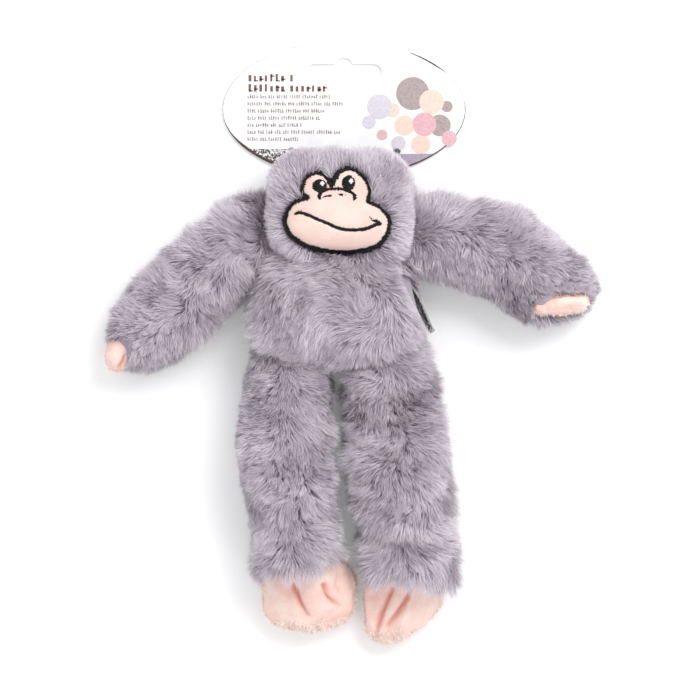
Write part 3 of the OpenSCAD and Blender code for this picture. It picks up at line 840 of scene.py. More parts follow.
PATCH_STEP = 0.6
PATCH_THICK = 1.5
EDGE_ROUND = 1.6
MOUTH_DEEP = 0.5
MOUTH_HALF = 1.1
PATCH_ABOVE = 0.25
PATCH_BELOW = -0.3
us = np.arange(-24, 24, PATCH_STEP)
vs = np.arange(-15, 25, PATCH_STEP)
grid = np.array([(u, v) for v in vs for u in us])
held_down = curve_through(MOUTH, False)
filled = within(border[:, :2], grid)
edge_gap = distance_to(border[:, :2], grid)
mouth_gap = distance_to(held_down[:, :2], grid)
crown = PATCH_THICK * (1 - np.exp(-edge_gap / EDGE_ROUND))
crown -= MOUTH_DEEP * np.exp(-(mouth_gap / MOUTH_HALF) ** 2)
bm = bmesh.new()
top = {}
base = {}
for i in np.flatnonzero(filled):
    top[i] = bm.verts.new(face_point(*grid[i], PATCH_ABOVE + crown[i]))
    base[i] = bm.verts.new(face_point(*grid[i], PATCH_BELOW))
wide = len(us)
for i in top:
    ring = (i, i + 1, i + wide + 1, i + wide)
    if all(k in top for k in ring):
        bm.faces.new([top[k] for k in ring])
        bm.faces.new([base[k] for k in reversed(ring)])
rim = [edge for edge in bm.edges if len(edge.link_faces) == 1]
partner = {top[i]: base[i] for i in top}
for edge in rim:
    a, b = edge.verts
    if a in partner and b in partner:
        bm.faces.new((a, b, partner[b], partner[a]))
bmesh.ops.delete(bm, geom=[v for v in bm.verts if not v.link_faces], context="VERTS")
face_cloth = smooth_piece("face_patch_fleece", bm, face_fleece, "face_fabric", "face_patch")

# Rayon embroidery thread: near black, silky along its length, so each satin stitch shows
# a thin highlight.
black_rayon = mottled(
    "black_rayon_thread", 0.5, (0.35, "#040405"), (0.75, "#1b191c"),
    Roughness=0.42, Anisotropic=0.5, Specular_IOR_Level=0.25)
white_rayon = mottled(
    "white_rayon_thread", 0.5, (0.3, "#dcdde2"), (0.7, "#ffffff"), Roughness=0.35, Sheen_Weight=0.2)

THREAD = 0.42
STITCH_STEP = 0.27
STITCH_PARTS = 5
THREAD_ROUND = ((-1, 0), (-0.6, 0.8), (0.6, 0.8), (1, 0), (0, -0.9))


def skinned(bm, rings):
    """Skins a run of rings of corners, and closes its two ends."""
    count = len(rings[0])
    for near, far in zip(rings, rings[1:]):
        for i in range(count):
            k = (i + 1) % count
            bm.faces.new((near[i], near[k], far[k], far[i]))
    bm.faces.new(rings[0])
    bm.faces.new(list(reversed(rings[-1])))


def add_stitch(bm, a, b, base_mm, rise_mm):
    """One stitch from a to b: a thread that leaves the cloth, arches over and goes back in."""
    a, b = np.array(a), np.array(b)
    run = (b - a) / max(np.linalg.norm(b - a), 1e-6)
    across = np.array([-run[1], run[0]])
    rings = []
    for t in np.linspace(0, 1, STITCH_PARTS + 1):
        centre = a + (b - a) * t
        height = base_mm + rise_mm * math.sqrt(max(0.0, 1 - (2 * t - 1) ** 2))
        half = THREAD / 2 * (0.75 if t in (0, 1) else 1.0)
        ring = []
        for side, lift in THREAD_ROUND:
            place = centre + across * side * half
            ring.append(bm.verts.new(face_point(place[0], place[1], height + lift * half)))
        rings.append(ring)
    skinned(bm, rings)


def satin_line(bm, line, base_mm, rise_mm, chance, ragged=0.22):
    """Satin stitch along a line of (u, v, width): stitch by stitch across it, with uneven ends."""
    steps = np.linalg.norm(np.diff(line[:, :2], axis=0), axis=1)
    run = np.concatenate([[0], np.cumsum(steps)])
    for at in np.linspace(0, run[-1], max(2, int(run[-1] / STITCH_STEP))):
        here, ahead, behind = (
            np.array([np.interp(at + shift, run, line[:, k]) for k in range(3)])
            for shift in (0, 0.6, -0.6))
        tangent = unit((ahead - behind)[None, :2])[0]
        over = np.array([-tangent[1], tangent[0]]) + tangent * (0.25 + chance.normal() * 0.1)
        low, high = chance.normal(size=2) * ragged
        half = here[2] / 2 * min(1.0, 0.6 + min(at, run[-1] - at) / 1.2)
        add_stitch(bm, here[:2] - over * (half + low), here[:2] + over * (half + high),
                   base_mm, rise_mm + chance.normal() * 0.06)


def satin_disc(bm, centre, half_w, half_h, base_mm, rise_mm, chance):
    """Satin stitch that fills an oval, worked across it from bottom to top."""
    for v in np.arange(-half_h, half_h + 0.01, STITCH_STEP):
        half = half_w * math.sqrt(max(0.05, 1 - (v / half_h) ** 2)) + chance.normal() * 0.1
        tilt = chance.normal() * 0.1
        add_stitch(bm, (centre[0] - half, centre[1] + v - tilt),
                   (centre[0] + half, centre[1] + v + tilt),
                   base_mm + 0.25 * math.sqrt(max(0.0, 1 - (v / half_h) ** 2)), rise_mm)


ON_CLOTH = 1.45
chance = np.random.default_rng(41)
bm = bmesh.new()
for line in (muzzle_edge, right_brow_edge, left_brow_edge):
    satin_line(bm, line, 0.35, 0.95, chance, ragged=0.32)
border_stitches = smooth_piece("face_border_stitches", bm, black_rayon, "black_thread", "face_border")
eye_pieces = []
glints = bmesh.new()
for side, (u, v, half_w, half_h) in EYES.items():
    bm = bmesh.new()
    satin_disc(bm, (u, v), half_w, half_h, ON_CLOTH, 0.35, chance)
    eye_pieces.append(smooth_piece(f"eye_{side}_stitches", bm, black_rayon, "black_thread", f"eye_{side}"))
    satin_disc(glints, (u + GLINT[0], v + GLINT[1]), GLINT[2], GLINT[2], ON_CLOTH + 0.55, 0.2, chance)
eye_pieces.append(smooth_piece("eye_glint_stitches", glints, white_rayon, "white_thread", "eye_glints"))
bm = bmesh.new()
satin_line(bm, curve_through(NOSE, False), ON_CLOTH - 0.1, 0.4, chance, ragged=0.16)
for line in NOSTRILS:
    satin_line(bm, curve_through(line, False), ON_CLOTH - 0.1, 0.25, chance, ragged=0.15)
nose_stitches = smooth_piece("nose_stitches", bm, black_rayon, "black_thread", "nose_stitching")
bm = bmesh.new()
satin_line(bm, curve_through(MOUTH, False), ON_CLOTH - 0.6, 0.6, chance, ragged=0.18)
satin_line(bm, curve_through(SMILE_HOOK, False), ON_CLOTH - 0.45, 0.6, chance, ragged=0.16)
mouth_stitches = smooth_piece("mouth_stitches", bm, black_rayon, "black_thread", "mouth_stitching")
face_pieces = [face_cloth, border_stitches, *eye_pieces, nose_stitches, mouth_stitches]
for piece in face_pieces:
    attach(piece, "head")


# ======================================================================================
# Pile of the head: shorter than on the body, brushed up and away from the face patch and
# down below the chin. Behind the head it lies flat on the hang card.

card_low, card_high = span("hang_card")
card_mid = (card_low + card_high) / 2
card_half = (card_high - card_low) / 2


def over_card(place):
    """The lowest that a fibre may lie: on the card where that is under it, and otherwise on
    the floor."""
    across, up = ((place[:, i] / MM - card_mid[i]) / card_half[i] for i in (0, 1))
    reach = np.hypot(across, up)
    return np.where(reach < 1.05, (card_high[2] + FLOOR_CLEAR) * MM, FLOOR_CLEAR * MM)


def face_bare(place, normal):
    """Which places lie under the face's patch or its border, where no pile grows."""
    uv = place[:, :2] / MM - face_at
    front = place[:, 2] / MM > head_low[2] + 24
    near = front & (abs(uv[:, 0]) < 26) & (uv[:, 1] > -16) & (uv[:, 1] < 26)
    bare = np.zeros(len(place), dtype=bool)
    chosen = np.flatnonzero(near)
    bare[chosen] = within(border[:, :2], uv[chosen])
    bare[chosen] |= distance_to(border[::2, :2], uv[chosen]) < BORDER_HALF - 0.1
    return bare


def head_comb(place, normal):
    """Combs the head's pile away from the face and down its sides, and keeps it short there."""
    uv = place[:, :2] / MM - face_at - np.array([0.0, 2.0])
    comb = np.zeros((len(place), 3))
    comb[:, :2] = unit(uv * np.array([0.5, 1.0]) + 1e-6)
    comb[:, 1] += 0.3
    front = np.clip((place[:, 2] / MM - 30) / 12, 0, 1)
    comb[:, 2] = -0.6 * (1 - front)
    comb = laid(comb, normal)
    side = np.clip(abs(normal[:, 0]) - 0.4, 0, 0.6) / 0.6
    crown = np.clip(normal[:, 1], 0, 1)
    return comb, (1 - 0.35 * side) * (1 - 0.4 * crown)


HEAD_PILE = {"seed": 11, "per_mm2": 8.5, "length": 7.2, "lean": 54, "width": 0.22, "clumps": 0.04,
             "pull": (0.1, 0.5), "swirl": 0.5, "swirl_mm": 22, "unruly": 0.38}
head_fur = grown(head_plush, [torso_plush, arms["right"]["skin"], arms["left"]["skin"]], HEAD_PILE,
                 head_comb, bare=face_bare, floor_of=over_card)
head_pile = pile_piece("head_pile", head_fur, np.ones(len(head_fur["lines"]), dtype=bool))
head_fill = fibre_fill(head_plush, "head_fill", FILL_IN, "head_filling")
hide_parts("head_front", "head_back")
for piece in (head_plush, head_pile, head_fill):
    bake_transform(piece)


# ======================================================================================
# Pile of the torso: long, combed down from the chin and out over the ribs, and rubbed
# into a whorl on the belly.

WHORL_AT = torso_mid[:2] + np.array([4.0, -8.0])
TUFT_AT = torso_mid[:2] + np.array([-6.0, -24.0])
WHORL_R = 15
TUFT_R = 11
RIBS_OUT = 30


def torso_comb(place, normal):
    """Combs the torso's pile down and outwards, round the whorl, and longer in one low tuft."""
    flat = place[:, :2] / MM - WHORL_AT
    reach = np.linalg.norm(flat, axis=1, keepdims=True)
    none = np.zeros(len(place))
    down = np.stack([flat[:, 0] / RIBS_OUT, none - 1.0], axis=1)
    across = np.stack([np.where(flat[:, 0] > 4, -0.5, -1.0), none + 0.35], axis=1)
    curl = np.exp(-((reach / WHORL_R) ** 2))
    to_tuft = np.linalg.norm(place[:, :2] / MM - TUFT_AT, axis=1, keepdims=True)
    tuft = np.exp(-((to_tuft / TUFT_R) ** 2))
    comb = np.zeros((len(place), 3))
    comb[:, :2] = down * (1 - curl) + across * curl + 2.0 * tuft * np.array([-0.75, -0.65])
    comb[:, 2] = -0.2
    comb = laid(comb, normal)
    return comb, 1 + 0.3 * tuft[:, 0]


BODY_PILE = {"seed": 21, "per_mm2": 7.4, "length": 9.8, "lean": 54, "width": 0.23, "clumps": 0.03,
             "pull": (0.15, 0.65), "swirl": 0.8, "swirl_mm": 26, "unruly": 0.28}
LIMB_PILE = {**BODY_PILE, "length": 8.8, "lean": 44, "swirl": 0.7, "swirl_mm": 22, "unruly": 0.4}
limb_skins = [arms[side]["skin"] for side in arms] + [legs[side]["skin"] for side in legs]
label_low, label_high = span("side_label")
LABEL_PARTING = 1.3
LABEL_COVERED = 9


def over_label(lines):
    """Which fibres stand beyond the side label, and which lie over it, where the pile is parted."""
    start = np.array([label_low[0], label_high[1]])
    run = np.array([label_high[0], label_low[1]]) - start
    flat = lines[:, :, :2] / MM - start
    at = np.clip(flat @ run / (run @ run), -0.05, 1.05)
    gap = np.linalg.norm(flat - at[:, :, None] * run, axis=2)
    beyond = (flat @ np.array([-run[1], run[0]])) > 0
    crowding = (beyond & (gap < 4 * LABEL_PARTING)).any(axis=1)
    over = lines[:, :, 2] / MM > label_low[2] + LABEL_COVERED
    return crowding, ((gap < LABEL_PARTING) & over).any(axis=1)


torso_fur = grown(torso_plush, [head_plush, *limb_skins], BODY_PILE, torso_comb, clear_of=over_label)
torso_pile = pile_piece("torso_pile", torso_fur, np.ones(len(torso_fur["lines"]), dtype=bool))
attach(torso_pile, "torso")


# ======================================================================================
# Pile of the limbs: the same long pile, which runs out along each sleeve and hangs down
# over its sides in tufts.

SLEEVE_BLEND = 18


def sleeve_comb(points, drop, shorter_of):
    """Combs pile out from the middle of a sleeve's front to its edges, and a little along it
    and down."""
    runs = [heading_of(a, b) for a, b in zip(points, points[1:])]

    def comb_of(place, normal):
        mids = np.array([(a + b) / 2 for a, b in zip(points, points[1:])]) * MM
        apart = ((place[:, None] - mids[None]) ** 2).sum(axis=2)
        near = np.exp(-apart / (SLEEVE_BLEND * MM) ** 2) + 1e-9
        comb = 0.45 * (near / near.sum(axis=1, keepdims=True)) @ np.array(runs)
        comb += normal * np.array([0.9, 0.9, 0.0])
        comb[:, 1] -= drop
        comb += np.array(runs[-1]) * 1.2 * np.clip(shorter_of(place, normal) - 1.05, 0, 1)[:, None]
        return laid(comb, normal), shorter_of(place, normal)

    return comb_of


# A palm pad is an oval at the sleeve's end: its middle from the hand's, its half sizes, its
# turn in degrees, the line that it is folded along, and the way the pile beside it is brushed.
PALM_PADS = {"right": {"at": (-8.4, -6.0, 0.4), "half": (5.6, 7.6, 7.6), "turn": -15,
                       "fold": [(1.5, -6.0), (2.6, -3.0), (2.8, 0.0)], "brush": (-0.5, -0.85)},
             "left": {"at": (-2.6, -6.3, 5.2), "half": (12.6, 4.8, 8.3), "turn": 5,
                      "fold": [(-9.0, 2.4), (-2.0, 3.4), (5.0, 3.8), (10.5, 3.0)], "brush": (1.0, 0.3)}}


def pad_reach(place, centre, pad):
    """How far places are from the middle of a palm pad's oval. Its rim is at 1."""
    turn = math.radians(-pad["turn"])
    off = place / MM - centre
    flat = np.stack([off[:, 0] * math.cos(turn) - off[:, 1] * math.sin(turn),
                     off[:, 0] * math.sin(turn) + off[:, 1] * math.cos(turn), off[:, 2]], axis=1)
    return np.linalg.norm(flat / np.array(pad["half"]), axis=1)


for order, side in enumerate(("right", "left")):
    arm = arms[side]
    shoulder, elbow, wrist, tip = arm["points"]
    pad = PALM_PADS[side]
    centre = np.array(tip) + np.array(pad["at"])

    def palm_bare(place, normal, centre=centre, pad=pad):
        return pad_reach(place, centre, pad) < 0.98

    def palm_clear(lines, centre=centre, pad=pad):
        over = lines[:, 1:].copy()
        over[:, :, 2] = centre[2] * MM
        reach = pad_reach(over.reshape(-1, 3), centre, pad).reshape(-1, 2).min(axis=1)
        return reach < 0.9, reach < 0.72

    def shorter_at_hand(place, normal, tip=np.array(tip)):
        gap = np.linalg.norm(place[:, :2] / MM - tip[:2], axis=1)
        return (1 - 0.5 * np.exp(-((gap / 15) ** 2))) * (1 + 0.3 * np.clip(normal[:, 1], -0.3, 1))

    along_arm = sleeve_comb(arm["points"], 0.1, shorter_at_hand)

    def arm_comb(place, normal, centre=centre, pad=pad, along_arm=along_arm):
        comb, shorter = along_arm(place, normal)
        beside = np.clip(2.2 - pad_reach(place, centre, pad), 0, 1)[:, None]
        comb = comb * (1 - beside) + np.array([*pad["brush"], 0.0]) * beside
        return laid(comb, normal), shorter

    fur = grown(arm["skin"], [torso_plush], {**LIMB_PILE, "seed": 31 + 10 * order}, arm_comb,
                bare=palm_bare, clear_of=palm_clear)
    limb_pieces(arm["skin"], fur, [
        limb_joint(side, "shoulder", "torso", "upper_arm", heading_of(shoulder, elbow), 7.0,
                   "upper_arm_sleeve", "upper_arm_filling"),
        limb_joint(side, "elbow", "upper_arm", "forearm", heading_of(shoulder, wrist), 9.0,
                   "forearm_sleeve", "forearm_filling"),
        limb_joint(side, "wrist", "forearm", "hand", heading_of(elbow, tip), 8.0,
                   "hand_back", "hand_filling"),
    ])

# How much shorter the pile is on the outer and the inner side of each leg.
SIDE_NARROW = {"right": (0.4, 0.25), "left": (-0.1, 0.0)}
for order, side in enumerate(("right", "left")):
    leg = legs[side]
    hip, knee, ankle, cuff = leg["points"]
    way = heading_of(ankle, cuff)

    def past_cuff(place, normal, cuff=np.array(cuff), way=np.array(way)):
        return (place / MM - cuff) @ way > 0

    def shorter_at_sides(place, normal, outer=-1 if side == "right" else 1,
                         narrow=SIDE_NARROW[side], cuff=np.array(cuff), way=np.array(way)):
        out = np.clip(normal[:, 0] * outer, 0, 1)
        inner = np.clip(-normal[:, 0] * outer, 0, 1)
        at_cuff = np.exp(-(((place / MM - cuff) @ way / 9) ** 2))
        return 1 - narrow[0] * out - narrow[1] * inner + 0.5 * at_cuff

    fur = grown(leg["skin"], [torso_plush], {**LIMB_PILE, "seed": 51 + 10 * order},
                sleeve_comb(leg["points"], 0.3, shorter_at_sides), bare=past_cuff)
    limb_pieces(leg["skin"], fur, [
        limb_joint(side, "hip", "torso", "thigh", heading_of(hip, knee), 9.0,
                   "thigh_sleeve", "thigh_filling"),
        limb_joint(side, "knee", "thigh", "shin", heading_of(hip, ankle), 13.0,
                   "shin_sleeve", "shin_filling"),
        limb_joint(side, "ankle", "shin", "foot", heading_of(knee, cuff), 11.0),
    ], stop=(cuff, way))


# ======================================================================================
# Palms and feet: pink short-pile fleece. A palm is a puffed pad let into the end of the
# sleeve. A foot is a stuffed bag whose front is tucked twice and sewn down to mark toes.

# Brushed polyester fleece: matt and soft, mottled by its own nap, with painted shade in a
# deeper red along its tucks.
PINK_CLOUD = 9.1
PINK_NAP = 0.5
pink_fleece, tree, shader = finish_of(
    "pink_short_pile_fleece", Roughness=0.9, Sheen_Weight=0.6, Sheen_Roughness=0.45,
    Specular_IOR_Level=0.2)
where = add(tree, "TexCoord", {}, {}).outputs["Object"]
cloud = add(tree, "TexNoise", {}, {"Vector": where, "Scale": 1 / (PINK_CLOUD * MM), "Detail": 3.0})
nap = add(tree, "TexNoise", {}, {"Vector": where, "Scale": 1 / (PINK_NAP * MM), "Detail": 3.0})
soft = add(tree, "ValToRGB", {}, {"Fac": cloud.outputs["Fac"]}, [(0.3, "#fbd3c6"), (0.7, "#fee9de")])
# Painted shade: a deeper red mixed in by how far each point lies down in a tuck.
tuck_shade = add(tree, "Attribute", {"attribute_name": "tuck"}, {}).outputs["Fac"]
deep = add(tree, "Mix", {"data_type": "RGBA"},
           {0: tuck_shade, 6: soft.outputs["Color"], 7: srgb("#ea9f90")})
grain = add(tree, "ValToRGB", {}, {"Fac": nap.outputs["Fac"]}, [(0.3, "#ead4cd"), (0.7, "#ffffff")])
mixed = add(tree, "Mix", {"data_type": "RGBA", "blend_type": "MULTIPLY"},
            {0: 0.5, 6: deep.outputs[2], 7: grain.outputs["Color"]})
tree.links.new(mixed.outputs[2], shader.inputs["Base Color"])
bump = add(tree, "Bump", {}, {"Height": nap.outputs["Fac"], "Strength": 0.5, "Distance": 0.4 * MM})
tree.links.new(bump.outputs["Normal"], shader.inputs["Normal"])

pink_nap = fibre_finish(
    "pink_fleece_nap", dark=[(0.0, "#fbd8cb"), (1.0, "#fde6da")], pale=[(0.0, "#fff0e7"), (1.0, "#fffdfa")],
    Roughness=0.7, Sheen_Weight=0.5, Specular_IOR_Level=0.2)

VALLEY_WIDER = 2.6
VALLEY_DEPTH = 0.7


def pressed(obj, tucks, width_mm, depth_mm):
    """Presses tucks into the upper side of a skin, and marks how deep each point is, for the
    painted shade in its tucks.
    """
    co = points_of(obj) / MM
    normals = normals_of(obj)
    deepest = np.zeros(len(co))
    valley = np.zeros(len(co))
    for tuck in tucks:
        line = curve_through(tuck, False)
        apart = np.linalg.norm(co[:, None, :2] - line[None], axis=2)
        at = apart.argmin(axis=1) / len(line)
        fade = np.clip(1.1 - 0.55 * at**3, 0, 1)
        off = apart.min(axis=1)
        deepest = np.maximum(deepest, np.exp(-((off / width_mm) ** 2)) * fade)
        valley = np.maximum(valley, np.exp(-((off / width_mm / VALLEY_WIDER) ** 2)) * fade)
    up = np.clip(normals[:, 2] * 2.5 + 0.6, 0, 1)
    deepest *= up
    depth = (deepest + VALLEY_DEPTH * valley * up) * depth_mm
    set_points(obj, (co - normals * depth[:, None]) * MM)
    # This mark of depth sets the painted shade in the fleece's tucks.
    attribute = obj.data.attributes.new("tuck", "FLOAT", "POINT")
    attribute.data.foreach_set("value", np.clip(deepest, 0, 1).astype(np.float32))


NAP_WIDTH = 0.28
NAP_TUFTS = 0.12


def nap_on(name, skin, length_mm, per_mm2, seed, worn):
    """Short nap standing on a fleece, which softens its outline, except where it is worn flat."""
    chance = np.random.default_rng(seed)
    place, normal = roots_on(skin, per_mm2, chance)
    standing = ~worn(place, normal)
    place, normal = place[standing], normal[standing]
    comb = np.cross(normal, chance.normal(size=(len(place), 3)))
    comb[:, 1] -= 0.5
    length = length_mm * chance.uniform(0.6, 1.2, len(place))
    lean = chance.uniform(0.3, 1.0, len(place))
    lines, tuft_shade = fibres(place, normal, comb, length, lean, chance, NAP_TUFTS, (0.1, 0.6))
    lines[:, :, 2] = np.maximum(lines[:, :, 2], FLOOR_CLEAR * MM)
    shade = 0.7 + 0.15 * tuft_shade + 0.15 * chance.normal(size=len(place))
    width = NAP_WIDTH * chance.uniform(0.7, 1.3, len(place))
    made = strand_mesh(name, lines, normal, width, shade, chance, pink_nap)
    return made


END_TRIM = 0.7
END_ROUND = 0.8
for order, side in enumerate(("right", "left")):
    tip = arms[side]["points"][3]
    pad = PALM_PADS[side]
    centre = np.array(tip) + np.array(pad["at"])
    half = np.array(pad["half"])
    turn = math.radians(pad["turn"])
    along_pad = np.array([math.cos(turn), math.sin(turn), 0])
    across_pad = np.array([-math.sin(turn), math.cos(turn), 0])
    thin = min(half)
    balls = []
    for x in (-1, 0, 1):
        for y in (-1, 1):
            for z in (-1, 1):
                trim, r = (END_TRIM, thin * END_ROUND) if x else (1.0, thin)
                at = centre + along_pad * x * (half[0] - thin * END_ROUND)
                at = at + across_pad * y * (half[1] - thin) * trim
                balls.append((at + np.array([0, 0, z * (half[2] - thin) * trim]), r))
    palm = closed_form(f"{side}_palm_pad", [balls], voxel_mm=1.3, smoothing=2)
    stuffed(palm, lambda p, z=centre[2]: p[:, 2] < z - 3, 0.05, 3.0, 0.8)
    finer(palm)
    fold = [(centre + along_pad * x + across_pad * y)[:2] for x, y in pad["fold"]]
    pressed(palm, [fold], 0.8, 0.9)
    palm.data.materials.append(pink_fleece)
    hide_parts(f"{side}_palm")
    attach(palm, f"{side}_hand")
    nap = nap_on(f"{side}_palm_nap", palm, 0.8, 4.0, 71 + order,
                 lambda place, normal: normal[:, 2] > 0.3)
    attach(nap, f"{side}_hand")

# Each foot is skinned round balls (across, along, radius) and pressed in along two tucks. All
# are from the middle of its toes.
FEET = {
    "right": {"balls": [(-10.4, 2.4, 7.8), (0.0, 1.0, 8.0), (10.6, 3.6, 8.2), (12.6, 13.5, 7.2),
                        (-10.8, 12.0, 8.0)],
              "tucks": [[(-6.2, 12.0), (-4.2, 6.5), (-0.4, -0.5)],
                        [(7.0, 12.5), (9.2, 7.3), (13.4, 4.0)]]},
    "left": {"balls": [(-9.0, -1.0, 7.6), (-4.5, 1.0, 8.0), (7.5, 11.0, 8.0), (-8.6, 13.0, 8.0),
                       (5.0, 8.0, 8.4)],
             "tucks": [[(-6.0, 14.5), (-10.2, 4.5), (-12.6, -5.6)],
                       [(2.2, 14.0), (-1.7, 6.6), (-7.4, -1.2)]]},
}
HEEL_R = 13.0
TOE_R = 8.5
for order, side in enumerate(("right", "left")):
    foot = FEET[side]
    low, high = span(f"{side}_foot_top", f"{side}_foot_sole")
    ankle = joint_at[f"{side}_ankle"]
    toes = Vector(((low[0] + high[0]) / 2, low[1] + TOE_R, 0))
    balls = [(ankle + Vector((0, 0, -1)), HEEL_R)]
    for x, y, r in foot["balls"]:
        balls.append((toes + Vector((x, y, r + 0.5)), r))
    skin = closed_form(f"{side}_foot_fleece", [balls], voxel_mm=1.5, smoothing=3)
    seam_z = TOE_R * 0.8
    stuffed(skin, lambda p, z=seam_z: abs(p[:, 2] - z) < 0.9, 0.07, 4.0, 1.2)
    finer(skin)
    tucks = [[(toes.x + x, toes.y + y) for x, y in tuck] for tuck in foot["tucks"]]
    pressed(skin, tucks, 1.0, 1.7)
    skin.data.materials.append(pink_fleece)
    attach(fibre_fill(skin, f"{side}_foot_fill", FILL_IN, f"{side}_foot_filling"), f"{side}_foot")
    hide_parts(f"{side}_foot_top", f"{side}_foot_sole")
    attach(skin, f"{side}_foot")

    def worn(place, normal, low_y=low[1]):
        edge_y = low_y + 5.5 + 1.5 * swirl(place, 5, 91)
        return ((normal[:, 2] > 0.5) | (place[:, 2] / MM > 10)) & (place[:, 1] / MM > edge_y)

    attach(nap_on(f"{side}_foot_nap", skin, 1.5, 3.6, 81 + order, worn), f"{side}_foot")


# ======================================================================================
# Side label: a folded satin tape, sewn into the side seam and standing on its edge, so
# that from above only a twisted strip of it shows. Its print is plain dark bars.

LABEL_TURN = math.radians(-63)
LABEL_LEN = 24.0
LABEL_WIDE = 12.0
TAPE_T = 0.16
LABEL_LEAN = 1.5
LABEL_OFF = 0.3
LABEL_WAVE = 0.35
FLOAT_APART = 0.4
label_way = np.array([math.cos(LABEL_TURN), math.sin(LABEL_TURN), 0])
label_out = np.array([-math.sin(LABEL_TURN), math.cos(LABEL_TURN), 0])
label_root = np.array([label_low[0] + 0.3, label_high[1] - 0.2, label_low[2]])

# Polyester satin: its floats lie side by side along the tape and shine across it. They are
# drawn 0.4 mm apart, wider than real ones, so that they show.
woven_satin, tree, shader = finish_of(
    "woven_satin_tape", Roughness=0.35, Sheen_Weight=0.3, Specular_IOR_Level=0.6)
where = add(tree, "TexCoord", {}, {}).outputs["Object"]
floats = add(tree, "TexWave", {"bands_direction": "Z"},
             {"Vector": where, "Scale": 1 / (FLOAT_APART * MM) / math.tau})
colour = add(tree, "ValToRGB", {}, {"Fac": floats.outputs["Fac"]}, [(0.2, "#d8d9d6"), (0.8, "#f3f3f0")])
tree.links.new(colour.outputs["Color"], shader.inputs["Base Color"])
bump = add(tree, "Bump", {}, {"Height": floats.outputs["Fac"], "Strength": 0.3, "Distance": 0.05 * MM})
tree.links.new(bump.outputs["Normal"], shader.inputs["Normal"])
tape_ink = mottled("black_tape_ink", 0.6, (0.4, "#161616"), (0.75, "#4a4a4a"), detail=2.0, Roughness=0.6)


def tape_point(along, up, out):
    """A place on the label: along it, up its width and out from its middle."""
    lean = LABEL_LEAN * (up / LABEL_WIDE - 0.5) * min(1.0, 0.25 + along / 12)
    wave = LABEL_WAVE * math.sin(along / LABEL_LEN * 5.0)
    flat = label_root + label_way * along + label_out * (LABEL_OFF + lean + wave + out)
    return (Vector(flat) + Vector((0, 0, up))) * MM


def tape_slab(bm, a0, a1, u0, u1, out0, out1, steps):
    """A thin strip of the label between two places along it and two up its width."""
    rings = []
    for a in np.linspace(a0, a1, steps):
        ring = [(u0, out0), (u1, out0), (u1, out1), (u0, out1)]
        rings.append([bm.verts.new(tape_point(a, u, out)) for u, out in ring])
    skinned(bm, rings)


LEAF_GAP = 0.3
bm = bmesh.new()
tape_slab(bm, 0, LABEL_LEN, 0, LABEL_WIDE, LEAF_GAP / 2, LEAF_GAP / 2 + TAPE_T, 24)
tape_slab(bm, 0, LABEL_LEN, 0, LABEL_WIDE, -LEAF_GAP / 2 - TAPE_T, -LEAF_GAP / 2, 24)
tape_slab(bm, LABEL_LEN - TAPE_T, LABEL_LEN, 0, LABEL_WIDE, -LEAF_GAP / 2, LEAF_GAP / 2, 2)
side_tape = smooth_piece("side_label_tape", bm, woven_satin, "label_satin", "side_label")
shaded(side_tape, False)
chance = np.random.default_rng(61)
bm = bmesh.new()
INK_T = 0.03
BAR_ROWS = 5
BAR_PITCH = 2.2
BAR_TALL = 1.5
for row in range(BAR_ROWS):
    at = 3.0
    low = 1.2 + row * BAR_PITCH
    while at < LABEL_LEN - 2.5:
        size = chance.uniform(0.7, 2.6)
        for out in (LEAF_GAP / 2 + TAPE_T, -LEAF_GAP / 2 - TAPE_T - INK_T):
            tape_slab(bm, at, min(at + size, LABEL_LEN - 1.5), low, low + BAR_TALL, out, out + INK_T, 3)
        at += size + chance.uniform(0.4, 1.0)
tape_bars = smooth_piece("side_label_bars", bm, tape_ink, "label_satin")
shaded(tape_bars, False)
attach(side_tape, "torso")
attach(tape_bars, "torso")


# ======================================================================================
# Hang card: a die-cut oval of coated board, white, with offset print on its face. The
# print is plain bars in place of words, and soft discs in place of a picture.

# Clay-coated board: bright, smooth and half glossy. Its ink lies flat on it with a soft
# shine, and its solids are a little uneven.
coated_board = mottled("coated_board", 7, (0.3, "#f0efee"), (0.7, "#fafaf9"),
                       Roughness=0.3, Specular_IOR_Level=0.5)
refinish("hang_card", coated_board)

CARD_INK_T = 0.02
INK_SPOT = 0.9
card_top = card_high[2] + 0.01


def offset_ink(name, *stops, spot_mm=INK_SPOT):
    """Offset printing ink in one colour, whose solid is a little uneven."""
    return mottled(name, spot_mm, *stops, Roughness=0.35)


def printed(name, outlines, ink, lift=0.0):
    """Flat areas of ink on the card, each a closed outline in mm."""
    bm = bmesh.new()
    for outline in outlines:
        low, high = ([bm.verts.new(Vector((x, y, z)) * MM) for x, y in outline]
                     for z in (card_top + lift, card_top + lift + CARD_INK_T))
        bm.faces.new(list(reversed(low)))
        bm.faces.new(high)
        for i in range(len(low)):
            k = (i + 1) % len(low)
            bm.faces.new((low[i], low[k], high[k], high[i]))
    made = smooth_piece(name, bm, ink, "card")
    shaded(made, False)
    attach(made, "card")
    return made


def bar_at(x0, x1, y0, y1):
    """The outline of an upright bar."""
    return [(x0, y0), (x1, y0), (x1, y1), (x0, y1)]


def disc_at(x, y, r, count=40):
    """The outline of a disc."""
    turns = np.arange(count) / count * math.tau
    return [(x + r * math.cos(t), y + r * math.sin(t)) for t in turns]


def oval_point(degrees, inset):
    """A place inside the card's edge, at an angle round its middle."""
    turn = math.radians(degrees)
    return (card_mid[0] + (card_half[0] - inset) * math.cos(turn),
            card_mid[1] + (card_half[1] - inset) * math.sin(turn))


RIM_STEPS = 60
RIM_IN = 0.02


def rim_strip(first, last, widths):
    """A strip of ink along the card's edge, from one angle to another, of a changing width."""
    turns = np.linspace(first, last, RIM_STEPS)
    wide = np.interp(np.linspace(0, 1, RIM_STEPS), np.linspace(0, 1, len(widths)), widths)
    return ([oval_point(t, RIM_IN) for t in turns]
            + [oval_point(t, RIM_IN + w) for t, w in zip(turns[::-1], wide[::-1])])


